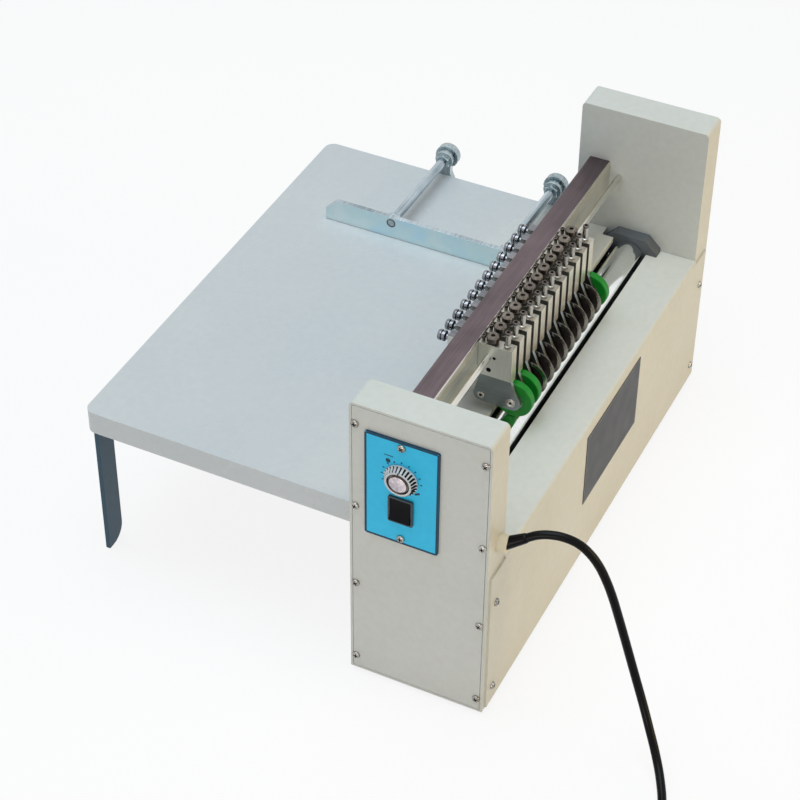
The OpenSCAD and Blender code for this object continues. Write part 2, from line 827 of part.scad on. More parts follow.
module guide_fence() {
    back = fence_y + fence_len;
    high = fence_z + fence_h;
    color(ZINC) difference() {
        pull_x(fence_x, fence_x + fence_t) polygon([[fence_y, fence_z], [back, fence_z],
            [back, high - fence_chamfer], [back - fence_chamfer, high], [fence_y, high]]);
        for (y = guide_ys) rod_along_x(fence_x - cut, fence_x + fence_t + cut, guide_d, y, guide_z);
    }
}

// Each rod ends just inside the fence's face, with a collar behind the fence
module fence_rods() {
    behind = fence_x + fence_t;
    color(ZINC) for (y = guide_ys) {
        rod_along_x(fence_x + rod_recess, lock_x + lock_h + rod_stub, guide_d, y, guide_z);
        rod_along_x(behind, behind + rod_collar, guide_d + 5, y, guide_z);
    }
}

// A post's face in Y and Z: a foot on the table's side, a waist and a round head
module post_outline() {
    head = post_w / 2;
    polygon(concat(
        [[-post_foot / 2, post_low], [post_foot / 2, post_low], [post_foot / 2, post_screw_z],
            [post_waist / 2, table_z + 3]],
        arc([0, guide_z], head, -40, 220, 16),
        [[-post_waist / 2, table_z + 3], [-post_foot / 2, post_screw_z]]));
}

module guide_posts() {
    color(ZINC) for (y = guide_ys) difference() {
        union() {
            pull_x(post_x, post_x + post_t) translate([y, 0]) post_outline();
            translate([post_x - post_nut, y, guide_z]) rotate([0, 90, 0])
                cylinder(h = post_nut, d = guide_d + 6, $fn = 6);
            rod_along_x(post_x, lock_x + lock_h, sleeve_d, y, guide_z);
        }
        rod_along_x(post_x - post_nut - cut, lock_x + lock_h + cut, guide_d + 2 * run_fit, y, guide_z);
        rod_along_x(post_x - cut, post_x + post_t + cut, screw_d + 2 * screw_fit, y, post_screw_z);
    }
}

// A grooved ring with a rounded rim, turning on the post's sleeve
module lock_knob(y) {
    grooves = 18;
    rim = 2.5;
    bore = sleeve_d / 2 + run_fit;
    color("#c2cdd3") translate([lock_x, y, guide_z]) rotate([0, 90, 0]) difference() {
        rotate_extrude() polygon(concat([[bore, 0], [lock_d / 2, 0]],
            arc([lock_d / 2 - rim, lock_h - rim], rim, 0, 90), [[bore, lock_h]]));
        for (k = [1:grooves]) rotate(360 * k / grooves)
            translate([lock_d / 2 + seat_gap, 0, -cut]) cylinder(h = lock_h, d = 1.6, $fn = 16);
    }
}

module lock_knob_1() {
    lock_knob(guide_ys[0]);
}

module lock_knob_2() {
    lock_knob(guide_ys[1]);
}

// Disc holders on the beam: a saddle with a front block, an arm plate, and their screws

// Section of the saddle: block in front of the beam, strap under it, lug behind it
module saddle_section() {
    polygon([[holder_front, holder_bottom], [lug_y + lug_t, holder_bottom], [lug_y + lug_t, thumb_z + lug_rise],
        [lug_y, thumb_z + lug_rise], [lug_y, beam_z - beam_fit], [holder_back, beam_z - beam_fit],
        [holder_back, holder_top], [holder_front, holder_top]]);
}

// Outline of the arm plate: a heel at the pivot, a nose round the disc axis, the top against the block
module arm_outline() {
    difference() {
        union() {
            translate([disc_y, disc_z]) circle(r = arm_nose);
            translate([pivot_y, pivot_z]) circle(r = arm_heel);
            polygon([[disc_y - arm_nose, disc_z], [holder_front, arm_top], [arm_back, arm_top],
                [arm_back, holder_bottom - joint_gap], [pivot_y + arm_heel, pivot_z], [pivot_y, pivot_z - arm_heel], [disc_y, disc_z - arm_nose]]);
        }
        translate([disc_y, disc_z]) circle(d = axle_d + 2 * screw_fit);
        translate([pivot_y, pivot_z]) circle(d = screw_d + 2 * screw_fit);
    }
}

// The saddle, with a step for the arm plate, room for the disc, and holes for rod and screws
module saddle() {
    half = holder_w / 2;
    difference() {
        pull_x(-half, half) saddle_section();
        pull_x(-half - cut, arm_t - half + joint_gap)
            polygon([[holder_front - cut, holder_bottom - cut], [holder_back, holder_bottom - cut],
                [holder_back, arm_top + joint_gap], [holder_front - cut, arm_top + joint_gap]]);
        rod_along_x(arm_t - half, half + cut, disc_d + 2 * disc_play, disc_y, disc_z);
        rod_along_x(-half - cut, half + cut, rod_d + 2 * run_fit, rod_y, rod_z);
        rod_along_y(lug_y - cut, lug_y + lug_t + cut, thumb_stem_d + 2 * screw_fit, 0, thumb_z);
        rod_along_z(holder_top - stem_depth, holder_top + cut, depth_stem_d + 2 * screw_fit, 0, depth_knob_y);
        rod_along_z(holder_top - stem_depth, holder_top + cut, screw_d + 2 * screw_fit, 0, lock_screw_y);
    }
}

// A thumb screw behind the beam
module thumb_screw() {
    head = lug_y + lug_t + thumb_neck;
    rod_along_y(lug_y - beam_fit / 2, head, thumb_stem_d, 0, thumb_z);
    rod_along_y(head, head + thumb_len, thumb_d, 0, thumb_z);
}

// A depth knob and a socket screw on the block
module top_screws() {
    low = holder_top - stem_depth + joint_gap;
    knob = holder_top + knob_neck;
    seat = holder_top + joint_gap;
    rod_along_z(low, knob, depth_stem_d, 0, depth_knob_y);
    rod_along_z(knob, knob + depth_knob_h, depth_knob_d, 0, depth_knob_y);
    rod_along_z(low, seat, screw_d, 0, lock_screw_y);
    rod_along_z(seat, seat + lock_head_h, lock_head_d, 0, lock_screw_y);
}

// A bolt through the arm plate, with its head on the near side
module side_bolt(to, d, y, z) {
    low = -holder_w / 2 - joint_gap;
    rod_along_x(low - bolt_head_h, low, d + bolt_flange, y, z);
    rod_along_x(low, to, d, y, z);
}

// A disc's axle: a bolt with a cap that keeps the disc on
module disc_axle() {
    cap = disc_low + hub_w + seat_gap;
    side_bolt(cap, axle_d, disc_y, disc_z);
    rod_along_x(cap, disc_low + wheel_w, axle_d + bolt_flange, disc_y, disc_z);
}

module holder(i) {
    half = holder_w / 2;
    translate([station_x(i), 0, 0]) {
        color(NICKEL) saddle();
        color("#a9a8a4") pull_x(-half, arm_t - half) arm_outline();
        color("#8a8a8a") {
            disc_axle();
            side_bolt(arm_t - half, screw_d, pivot_y, pivot_z);
            thumb_screw();
            top_screws();
        }
    }
}

// Discs beside the arm plates

module disc_bore(w) {
    rod_along_x(disc_low - cut, disc_low + w + cut, axle_d + 2 * run_fit, disc_y, disc_z);
}

// A disc blade: ground to an edge on both sides, on a hub
module blade(i) {
    middle = disc_low + hub_w / 2;
    bevel = 3;
    color("#3a3536") translate([station_x(i), 0, 0]) difference() {
        union() {
            rod_along_x(disc_low, disc_low + hub_w, hub_d, disc_y, disc_z);
            translate([middle, disc_y, disc_z]) rotate([0, 90, 0]) rotate_extrude($fn = 64)
                polygon([[0, -blade_t / 2], [disc_r - bevel, -blade_t / 2], [disc_r, -0.1], [disc_r, 0.1],
                    [disc_r - bevel, blade_t / 2], [0, blade_t / 2]]);
        }
        disc_bore(hub_w);
    }
}

// A press wheel: a soft tyre bonded to a narrower steel hub
module press_wheel(i) {
    rim = disc_r - tyre_t;
    translate([station_x(i), 0, 0]) {
        color("#b5b5b0") difference() {
            rod_along_x(disc_low, disc_low + hub_w, 2 * rim, disc_y, disc_z);
            disc_bore(hub_w);
        }
        color("#147828") difference() {
            rod_along_x(disc_low, disc_low + wheel_w, disc_d, disc_y, disc_z);
            rod_along_x(disc_low - cut, disc_low + wheel_w + cut, 2 * rim, disc_y, disc_z);
        }
    }
}

// A station carries a press wheel or a blade
module disc(i) {
    if (has_wheel(i)) press_wheel(i);
    else blade(i);
}

// Power cord

// A tube along points: one ring on each point, carried along without twist
function tangents(p) = [for (i = [0:len(p) - 1])
    unit(p[min(i + 1, len(p) - 1)] - p[max(i - 1, 0)])];
function carried(t, n, i = 0) = i == len(t) ? [] :
    let (m = unit(n - (n * t[i]) * t[i])) concat([m], carried(t, m, i + 1));

module tube(points, d, sides) {
    t = tangents(points);
    n = carried(t, [0, 0, 1] + [1, 0, 0]);
    rings = [for (i = [0:len(points) - 1], j = [0:sides - 1])
        points[i] + d / 2 * (cos(360 * j / sides) * n[i] + sin(360 * j / sides) * cross(t[i], n[i]))];
    last = (len(points) - 1) * sides;
    walls = [for (i = [0:len(points) - 2], j = [0:sides - 1])
        let (a = i * sides + j, b = i * sides + (j + 1) % sides) each [[a, a + sides, b + sides], [a, b + sides, b]]];
    caps = [for (j = [1:sides - 2]) each [[0, j, j + 1], [last, last + j + 1, last + j]]];
    polyhedron(rings, concat(walls, caps));
}

// A collar on the housing, and a tapered sleeve that leaves it towards the cord
module cord_gland() {
    collar = 7;
    root = collar / 2;
    color("#d8d0b8") translate([-gland_x, 0, gland_z]) rotate([90, 0, 0]) {
        cylinder(h = collar, d = gland_d);
        translate([0, 0, -rim_t - seat_gap]) cylinder(h = rim_t + 2 * seat_gap, d = gland_neck_d);
        translate([0, 0, root]) rotate([-gland_lift, gland_swing, 0])
            cylinder(h = sleeve_len, d1 = gland_d - 4, d2 = cord_d + 2);
    }
}

module power_cord() {
    color("#1a1a1a") tube(cord_points, cord_d, cord_sides);
}

// The coil spirals in on the floor, climbs one layer in half a turn, and spirals out on top
half_steps = coil_turns * coil_rings;
function climb(u) = let (s = max(0, min(1, (u - half_steps) / (coil_rings / 2) + 0.5))) s * s * (3 - 2 * s);
function coil_point(u) =
    let (a = 90 + 360 * u / coil_rings, r = coil_r - coil_pitch * (half_steps - abs(half_steps - u)) / coil_rings)
    [coil_centre[0] + r * cos(a), coil_centre[1] + r * sin(a), coil_start[2] + coil_rise * climb(u)];
coil_end = coil_point(2 * half_steps) + [-coil_tail, 0, 0];
coil_points = concat([coil_start + [cord_d, 0, 0]], [for (u = [0:2 * half_steps]) coil_point(u)], [coil_end]);

// The least gap between two stretches of the coil that lie half a turn or more apart
coil_gap = min([for (i = [1:2 * half_steps], j = [i + coil_rings / 2:2 * half_steps + 1])
    norm(coil_points[i] - coil_points[min(j, 2 * half_steps + 1)])]) - cord_d;
echo(coil_gap = coil_gap);

function path_length(p) = norm([for (i = [1:len(p) - 1]) sqrt(norm(p[i] - p[i - 1]))]) ^ 2;
echo(cord_length = path_length(cord_points) + path_length(coil_points));

module cord_coil() {
    color("#1a1a1a") tube(coil_points, cord_d, coil_sides);
}

// A moulded plug with two flat pins, lying on the floor
module power_plug() {
    pin = [17, 1.5, 6.3];
    pin_gap = 12.7;
    back = coil_end[0] - plug_sleeve;
    color("#1a1a1a") {
        translate(coil_end) rotate([0, -90, 0]) cylinder(h = plug_sleeve, d1 = cord_d + 2, d2 = cord_d + 5);
        pull_x(back - plug_len, back) translate([coil_end[1], plug_h / 2]) round_rect(plug_w, plug_h, 5);
    }
    color(NICKEL) for (s = [-1, 1])
        box([back - plug_len - pin[0], coil_end[1] + s * pin_gap / 2 - pin[1] / 2, coil_end[2] - pin[2] / 2],
            [back - plug_len, coil_end[1] + s * pin_gap / 2 + pin[1] / 2, coil_end[2] + pin[2] / 2]);
}

placed() near_housing();
placed() far_housing();
placed() near_end_cover();
placed() far_end_cover();
placed() cover_screws();
placed() front_cover();
placed() rear_cover();
placed() base_plate();
placed() rubber_feet();
placed() feed_table();
placed() table_legs();
placed() leg_screws();
placed() blade_beam();
placed() guide_rod();
placed() feed_roller();
placed() bearing_blocks();
placed() roller_gear();
placed() motor_pinion();
placed() gear_motor();
placed() control_box();
placed() speed_panel();
placed() panel_screws();
placed() speed_knob();
placed() switch_bezel();
placed() rocker_switch();
placed() guide_fence();
placed() fence_rods();
placed() guide_posts();
placed() lock_knob_1();
placed() lock_knob_2();
for (i = [0:STATIONS - 1]) {
    placed() holder(i);
    placed() disc(i);
}
placed() cord_gland();
placed() power_cord();
placed() cord_coil();
placed() power_plug();
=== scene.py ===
"""Looks of a motor-driven label slitter: paint, plated steel, printed panel, screws and cord."""
import json
from math import cos, pi, radians, sin

import bmesh
import bpy
from mathutils import Matrix, Vector


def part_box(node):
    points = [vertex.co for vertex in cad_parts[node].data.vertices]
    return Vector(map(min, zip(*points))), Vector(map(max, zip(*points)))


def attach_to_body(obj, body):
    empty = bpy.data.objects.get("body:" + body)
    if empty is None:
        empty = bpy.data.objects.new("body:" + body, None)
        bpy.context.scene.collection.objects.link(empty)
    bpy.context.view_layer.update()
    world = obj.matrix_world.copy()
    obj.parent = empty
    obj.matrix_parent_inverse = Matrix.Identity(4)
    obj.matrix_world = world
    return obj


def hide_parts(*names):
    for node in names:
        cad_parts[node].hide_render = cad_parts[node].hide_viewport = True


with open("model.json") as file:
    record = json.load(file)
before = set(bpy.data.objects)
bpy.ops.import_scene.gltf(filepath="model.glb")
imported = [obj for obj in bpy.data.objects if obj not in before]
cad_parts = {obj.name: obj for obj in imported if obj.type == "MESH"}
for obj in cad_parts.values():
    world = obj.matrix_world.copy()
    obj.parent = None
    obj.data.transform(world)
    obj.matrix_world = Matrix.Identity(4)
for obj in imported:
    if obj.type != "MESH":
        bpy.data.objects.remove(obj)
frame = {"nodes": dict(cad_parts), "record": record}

MM = 0.001
scene = bpy.context.scene
nodes = frame["nodes"]
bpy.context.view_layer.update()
body_of = {n: b for b, group in frame["record"]["behaviour"]["bodies"].items() for n in group}


# Camera

CAMERA_PLACE = Vector((-1.32395, -0.6347, 1.3356))
CAMERA_AZIMUTH = radians(-64.276)
CAMERA_HEIGHT = radians(40.529)
CAMERA_ROLL = radians(0.563)
CAMERA_LENS = 100.89
CAMERA_SENSOR = 36
CAMERA_NEAR = 0.05


def make_camera():
    data = bpy.data.cameras.new("photo_camera")
    data.lens = CAMERA_LENS
    data.sensor_width = CAMERA_SENSOR
    data.clip_start = CAMERA_NEAR
    camera = bpy.data.objects.new("photo_camera", data)
    scene.collection.objects.link(camera)
    level = cos(CAMERA_HEIGHT)
    back = Vector((sin(CAMERA_AZIMUTH) * level, -cos(CAMERA_AZIMUTH) * level, sin(CAMERA_HEIGHT)))
    right = Vector((0, 0, 1)).cross(back).normalized()
    up = back.cross(right)
    rolled_right = cos(CAMERA_ROLL) * right + sin(CAMERA_ROLL) * up
    rolled_up = cos(CAMERA_ROLL) * up - sin(CAMERA_ROLL) * right
    turn = Matrix((rolled_right, rolled_up, back)).transposed()
    camera.matrix_world = Matrix.Translation(CAMERA_PLACE) @ turn.to_4x4()
    scene.camera = camera


make_camera()


# Materials

def linear(code, alpha=1.0):
    """An sRGB hex code as a linear colour."""
    parts = [int(code[k:k + 2], 16) / 255 for k in (1, 3, 5)]
    return tuple(c / 12.92 if c <= 0.04045 else ((c + 0.055) / 1.055) ** 2.4 for c in parts) + (alpha,)


def per_mm(size):
    """Texture scale for a feature of that size in millimetres, on coordinates in metres."""
    return 1000 / size


def add_node(tree, kind, inputs=None, **settings):
    made = tree.nodes.new(kind)
    for key, value in settings.items():
        setattr(made, key, value)
    for socket, value in (inputs or {}).items():
        if isinstance(value, bpy.types.NodeSocket):
            tree.links.new(value, made.inputs[socket])
        else:
            made.inputs[socket].default_value = value
    return made


def new_material(name, **sockets):
    """A material with one Principled shader; sockets are its constant values."""
    material = bpy.data.materials.new(name)
    material.use_nodes = True
    tree = material.node_tree
    shader = tree.nodes["Principled BSDF"]
    for socket, value in sockets.items():
        shader.inputs[socket.replace("_", " ")].default_value = value
    place = add_node(tree, "ShaderNodeTexCoord").outputs["Object"]
    return material, tree, shader, place


def powder_coat(name, colour, dusty, gloss=0.34):
    # Polyester powder coat on sheet steel: a satin skin with a fine orange peel and faint cloudy toning.
    # The peel of about 1 mm is drawn at 2.5 mm, so that it shows.
    material, tree, shader, place = new_material(name, IOR=1.5, Specular_IOR_Level=0.4)
    cloud = add_node(tree, "ShaderNodeTexNoise", {"Vector": place, "Scale": per_mm(90), "Detail": 4.0})
    speck = add_node(tree, "ShaderNodeTexNoise", {"Vector": place, "Scale": per_mm(6), "Detail": 3.0})
    both = add_node(tree, "ShaderNodeMath", {0: cloud.outputs["Fac"], 1: speck.outputs["Fac"]},
                    operation="ADD")
    tone = add_node(tree, "ShaderNodeMapRange", {"Value": both.outputs[0], "From Min": 0.7, "From Max": 1.3})
    paint = add_node(tree, "ShaderNodeMix", {0: tone.outputs[0], 6: linear(colour), 7: linear(dusty)},
                     data_type="RGBA")
    tree.links.new(paint.outputs[2], shader.inputs["Base Color"])
    rough = add_node(tree, "ShaderNodeMapRange",
                     {"Value": cloud.outputs["Fac"], "To Min": gloss, "To Max": gloss + 0.14})
    tree.links.new(rough.outputs[0], shader.inputs["Roughness"])
    peel = add_node(tree, "ShaderNodeTexNoise", {"Vector": place, "Scale": per_mm(2.5), "Detail": 2.0})
    bump = add_node(tree, "ShaderNodeBump",
                    {"Height": peel.outputs["Fac"], "Strength": 0.09, "Distance": 0.15 * MM})
    tree.links.new(bump.outputs[0], shader.inputs["Normal"])
    return material


def worked_steel(name, light, dark, rough, grain, along, metallic=1.0):
    # Plated or ground steel: fine marks along one axis, or mottling along none, in lighter and darker metal.
    # Grinding marks of about 0.1 mm are drawn as wide as grain says, so that they show, and 40 times as long.
    # A metallic value under 1 stands for a dull, oiled skin that scatters more light.
    material, tree, shader, place = new_material(name, Metallic=metallic)
    length = 40
    stretch = [1 / length if axis == along else 1.0 for axis in "XYZ"]
    drawn = add_node(tree, "ShaderNodeMapping", {"Vector": place, "Scale": stretch})
    marks = add_node(tree, "ShaderNodeTexNoise",
                     {"Vector": drawn.outputs[0], "Scale": per_mm(grain), "Detail": 5.0, "Roughness": 0.65})
    patch = add_node(tree, "ShaderNodeTexNoise", {"Vector": place, "Scale": per_mm(35), "Detail": 3.0})
    both = add_node(tree, "ShaderNodeMath", {0: marks.outputs["Fac"], 1: patch.outputs["Fac"]},
                    operation="ADD")
    tone = add_node(tree, "ShaderNodeMapRange", {"Value": both.outputs[0], "From Min": 0.7, "From Max": 1.3})
    metal = add_node(tree, "ShaderNodeMix", {0: tone.outputs[0], 6: linear(dark), 7: linear(light)},
                     data_type="RGBA")
    tree.links.new(metal.outputs[2], shader.inputs["Base Color"])
    gloss = add_node(tree, "ShaderNodeMapRange",
                     {"Value": marks.outputs["Fac"], "To Min": rough * 0.75, "To Max": rough * 1.3})
    tree.links.new(gloss.outputs[0], shader.inputs["Roughness"])
    bump = add_node(tree, "ShaderNodeBump",
                    {"Height": marks.outputs["Fac"], "Strength": 0.12, "Distance": 0.1 * MM})
    tree.links.new(bump.outputs[0], shader.inputs["Normal"])
    return material


def moulded(name, colour, worn, rough, shine=0.3):
    # Moulded plastic or rubber, lacquer or print: a fine grain, rubbed a little paler and shinier in patches.
    # The grain of about 0.2 mm is drawn at 0.8 mm, so that it shows.
    material, tree, shader, place = new_material(name, IOR=1.46, Specular_IOR_Level=shine)
    rub = add_node(tree, "ShaderNodeTexNoise", {"Vector": place, "Scale": per_mm(18), "Detail": 4.0})
    skin = add_node(tree, "ShaderNodeMix", {0: rub.outputs["Fac"], 6: linear(colour), 7: linear(worn)},
                    data_type="RGBA")
    tree.links.new(skin.outputs[2], shader.inputs["Base Color"])
    gloss = add_node(tree, "ShaderNodeMapRange",
                     {"Value": rub.outputs["Fac"], "To Min": rough * 1.15, "To Max": rough * 0.8})
    tree.links.new(gloss.outputs[0], shader.inputs["Roughness"])
    pits = add_node(tree, "ShaderNodeTexNoise", {"Vector": place, "Scale": per_mm(0.8), "Detail": 2.0})
    bump = add_node(tree, "ShaderNodeBump",
                    {"Height": pits.outputs["Fac"], "Strength": 0.15, "Distance": 0.08 * MM})
    tree.links.new(bump.outputs[0], shader.inputs["Normal"])
    return material


def zinc_plate(name):
    # Bright zinc with a blue passivate: soft clouds of paler and deeper blue, with a spangle in the gloss.
    material, tree, shader, place = new_material(name, Metallic=1.0)
    cloud = add_node(tree, "ShaderNodeTexNoise",
                     {"Vector": place, "Scale": per_mm(45), "Detail": 3.0, "Distortion": 0.6})
    tint = add_node(tree, "ShaderNodeValToRGB", {"Fac": cloud.outputs["Fac"]})
    steps = tint.color_ramp.elements
    steps[0].position = 0.32
    steps[0].color = linear("#c0dfee")
    steps[1].position = 0.66
    steps[1].color = linear("#dae7ea")
    middle = steps.new(0.5)
    middle.color = linear("#cde3e7")
    tree.links.new(tint.outputs[0], shader.inputs["Base Color"])
    spangle = add_node(tree, "ShaderNodeTexVoronoi", {"Vector": place, "Scale": per_mm(3)})
    gloss = add_node(tree, "ShaderNodeMapRange",
                     {"Value": spangle.outputs["Distance"], "To Min": 0.28, "To Max": 0.42})
    tree.links.new(gloss.outputs[0], shader.inputs["Roughness"])
    return material


def axis_distance(tree, place, node):
    """How far a point is from a disc's axis, which lies along X, and the disc's own radius."""
    low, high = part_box(node)
    middle = (low + high) / 2
    flat = add_node(tree, "ShaderNodeMapping",
                    {"Vector": place, "Location": (0, -middle.y, -middle.z), "Scale": (0, 1, 1)})
    reach = add_node(tree, "ShaderNodeVectorMath", {0: flat.outputs[0]}, operation="LENGTH")
    return reach.outputs["Value"], (high.z - low.z) / 2


def blade_steel(name):
    # Blackened tool steel with a bright ground bevel, told by the distance from the disc's axis.
    material, tree, shader, place = new_material(name, Metallic=1.0)
    reach, radius = axis_distance(tree, place, "blade_03")
    bevel = 3 * MM
    ground = add_node(tree, "ShaderNodeMath", {0: reach, 1: radius - bevel}, operation="GREATER_THAN")
    streak = add_node(tree, "ShaderNodeTexNoise", {"Vector": place, "Scale": per_mm(2), "Detail": 4.0})
    black = add_node(tree, "ShaderNodeMix",
                     {0: streak.outputs["Fac"], 6: linear("#2f2a2b"), 7: linear("#57504f")}, data_type="RGBA")
    metal = add_node(tree, "ShaderNodeMix", {0: ground.outputs[0], 6: black.outputs[2], 7: linear("#b9b4ad")},
                     data_type="RGBA")
    tree.links.new(metal.outputs[2], shader.inputs["Base Color"])
    gloss = add_node(tree, "ShaderNodeMapRange", {"Value": ground.outputs[0], "To Min": 0.42, "To Max": 0.22})
    tree.links.new(gloss.outputs[0], shader.inputs["Roughness"])
    return material


def tyred_wheel(name):
    # A polyurethane tyre cast round a turned steel hub, told apart by the distance from the wheel's axis.
    material, tree, shader, place = new_material(name, IOR=1.5, Specular_IOR_Level=0.25)
    reach, radius = axis_distance(tree, place, "press_wheel_01")
    tyre = 8 * MM
    hub = add_node(tree, "ShaderNodeMath", {0: reach, 1: radius - tyre}, operation="LESS_THAN")
    rub = add_node(tree, "ShaderNodeTexNoise", {"Vector": place, "Scale": per_mm(7), "Detail": 4.0})
    rubber = add_node(tree, "ShaderNodeMix",
                      {0: rub.outputs["Fac"], 6: linear("#0b701d"), 7: linear("#12962c")}, data_type="RGBA")
    skin = add_node(tree, "ShaderNodeMix", {0: hub.outputs[0], 6: rubber.outputs[2], 7: linear("#a9aba8")},
                    data_type="RGBA")
    tree.links.new(skin.outputs[2], shader.inputs["Base Color"])
    tree.links.new(hub.outputs[0], shader.inputs["Metallic"])
    gloss = add_node(tree, "ShaderNodeMapRange",
                     {"Value": rub.outputs["Fac"], "To Min": 0.36, "To Max": 0.24})
    tree.links.new(gloss.outputs[0], shader.inputs["Roughness"])
    return material


def clear_acrylic(name):
    # Moulded acrylic over a white back: bright with a faint cool tint and small moulding ripples.
    material, tree, shader, place = new_material(name, IOR=1.49, Roughness=0.08, Transmission_Weight=0.3,
                                                 Base_Color=linear("#f2f5f8"))
    ripple = add_node(tree, "ShaderNodeTexNoise", {"Vector": place, "Scale": per_mm(5), "Detail": 2.0})
    bump = add_node(tree, "ShaderNodeBump",
                    {"Height": ripple.outputs["Fac"], "Strength": 0.2, "Distance": 0.1 * MM})
    tree.links.new(bump.outputs[0], shader.inputs["Normal"])
    return material


WARM_PAINT = powder_coat("warm_grey_powder_coat", "#d6d6d0", "#cfcfc8")
TABLE_PAINT = powder_coat("cool_grey_powder_coat", "#d1d3d3", "#cbced0", gloss=0.2)
LEG_PAINT = powder_coat("slate_powder_coat", "#0d3b50", "#16475c")
# Painted shade: near black for the front cover's inside, so that the gap before the roller reads dark.
INSIDE_SHADE_PAINT = powder_coat("painted_shade_inside", "#29292a", "#313132")
BLUE_PRINT = powder_coat("blue_printed_aluminium", "#2ac9f6", "#28c0ee")
BEAM_FACE = worked_steel("ground_beam_face", "#dcddd8", "#bcbdb8", 0.36, 1.2, "X", metallic=0.75)
BROWN_STEEL = worked_steel("browned_ground_steel", "#716367", "#595053", 0.4, 1.2, "X")
BRIGHT_STEEL = worked_steel("polished_roller_steel", "#f2f4f3", "#d8dcdb", 0.1, 1.0, "Y")
ROD_STEEL = worked_steel("bright_drawn_steel", "#e4e2da", "#c9c7c0", 0.2, 0.8, "X")
NICKEL = worked_steel("brushed_nickel_plate", "#f3eee3", "#d9d3c7", 0.3, 0.9, "Z", metallic=0.8)
SIDE_STEEL = worked_steel("satin_holder_side", "#e2e4df", "#cccec9", 0.34, 0.6, "Z", metallic=0.92)
# Painted shade: a darker steel for the holders' sides that face a neighbour.
GAP_SHADE_STEEL = worked_steel("painted_shade_holder_gap", "#a9a9a2", "#8a8a84", 0.4, 0.6, "Z")
TOP_STEEL = worked_steel("oiled_holder_top", "#c4c0b6", "#9a968c", 0.36, 0.8, "X")
KNOB_STEEL = worked_steel("oiled_knob_top", "#8d857c", "#4f4944", 0.3, 1.4, "X")
ARM_STEEL = worked_steel("ground_arm_plate", "#929b9d", "#747e81", 0.34, 0.9, "Y")
DARK_CHROME = worked_steel("dark_chrome_knurl", "#7d7772", "#443f3c", 0.22, 0.7, "Z")
CHROME = worked_steel("bright_nickel_screw", "#e0ddd6", "#b5b1aa", 0.18, 1.0, "X")
SCREW_STEEL = worked_steel("plated_screw_head", "#c2bfb9", "#77736d", 0.2, 1.6, "X")
THUMB_STEEL = worked_steel("knurled_thumb_head", "#9a9ca1", "#5b5e64", 0.2, 0.8, "Y")
DRAWN_ZINC = worked_steel("drawn_zinc_rod", "#c6d2d9", "#7c8b94", 0.22, 2.2, "X")
POST_ZINC = worked_steel("plated_post_zinc", "#c8d5d9", "#7f8e94", 0.22, 3.0, "Z")
GALVANISED = worked_steel("galvanised_sheet", "#b2b5b5", "#93989a", 0.45, 3.0, "X")
BRASS = worked_steel("machined_brass", "#c9ae66", "#a58b48", 0.3, 0.8, "X")
MOTOR_STEEL = worked_steel("grey_motor_steel", "#8d9194", "#6f7376", 0.45, 1.5, "X")
ZINC = zinc_plate("blue_zinc_plate")
BLADE_STEEL = blade_steel("blackened_blade_steel")
ACRYLIC = clear_acrylic("clear_acrylic")
CAP_FOIL = worked_steel("mottled_cap_foil", "#f3e6ea", "#8f8a92", 0.2, 4.0, "none")
TYRED_WHEEL = tyred_wheel("green_polyurethane_on_steel")
BLACK_ABS = moulded("black_abs", "#08080b", "#101014", 0.4, shine=0.1)
BEZEL_ABS = moulded("grey_bezel_abs", "#3c464c", "#48535a", 0.36)
DARK_PRINT = moulded("navy_print", "#173a52", "#1d445e", 0.5)
PLATE_GREY = moulded("grey_plate_lacquer", "#222429", "#2a2c31", 0.42)
PLATE_RIM = moulded("pale_plate_rim", "#54565c", "#5e6066", 0.42)
BLOCK_PAINT = moulded("dark_block_paint", "#575b60", "#63676c", 0.42)
RUBBER = moulded("black_rubber", "#242424", "#303030", 0.65)
CREAM_NYLON = moulded("cream_nylon", "#dcd4bc", "#e4ddc8", 0.42)
CORD_PVC = moulded("black_pvc", "#070708", "#0e0e10", 0.24, shine=0.12)


# Modelling helpers

UP = (0, 0, 1)


def only(piece):
    bpy.ops.object.select_all(action="DESELECT")
    piece.select_set(True)
    bpy.context.view_layer.objects.active = piece


def start_edit(piece):
    only(piece)
    bpy.ops.object.mode_set(mode="EDIT")
    bpy.ops.mesh.select_mode(type="FACE")


def end_edit():
    bpy.ops.object.mode_set(mode="OBJECT")


def pick_faces(piece, test):
    """In edit mode, selects the faces whose centre and normal pass the test."""
    bpy.ops.mesh.select_all(action="DESELECT")
    shape = bmesh.from_edit_mesh(piece.data)
    for face in shape.faces:
        face.select_set(test(face.calc_center_median(), face.normal))
    shape.select_flush_mode()
    bmesh.update_edit_mesh(piece.data)


def settle(piece):
    """Puts the piece's place into its mesh, so that its object sits at the origin."""
    only(piece)
    bpy.ops.object.transform_apply(location=True, rotation=True, scale=True)


def paint(piece, *materials):
    piece.data.materials.clear()
    for material in materials:
        piece.data.materials.append(material)


def paint_faces(piece, index, test):
    for face in piece.data.polygons:
        if test(face.center, face.normal):
            face.material_index = index


def round_edges(piece, width, segments=2, angle=35):
    only(piece)
    bpy.ops.object.shade_smooth()
    edge = piece.modifiers.new("edge", "BEVEL")
    edge.width = width
    edge.segments = segments
    edge.limit_method = "ANGLE"
    edge.angle_limit = radians(angle)
    edge.harden_normals = True
    bpy.ops.object.modifier_apply(modifier="edge")


def copied_node(node, name):
    """A merged copy of a CAD node's mesh, with its flat faces joined."""
    piece = bpy.data.objects.new(name, nodes[node].data.copy())
    scene.collection.objects.link(piece)
    start_edit(piece)
    bpy.ops.mesh.customdata_custom_splitnormals_clear()
    bpy.ops.mesh.select_all(action="SELECT")
    bpy.ops.mesh.remove_doubles(threshold=0.001 * MM)
    bpy.ops.mesh.dissolve_limited(angle_limit=radians(0.4))
    end_edit()
    return piece


def attach(piece, node):
    """The piece stands for the node, on the node's body."""
    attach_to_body(piece, body_of[node])
    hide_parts(node)
    return piece


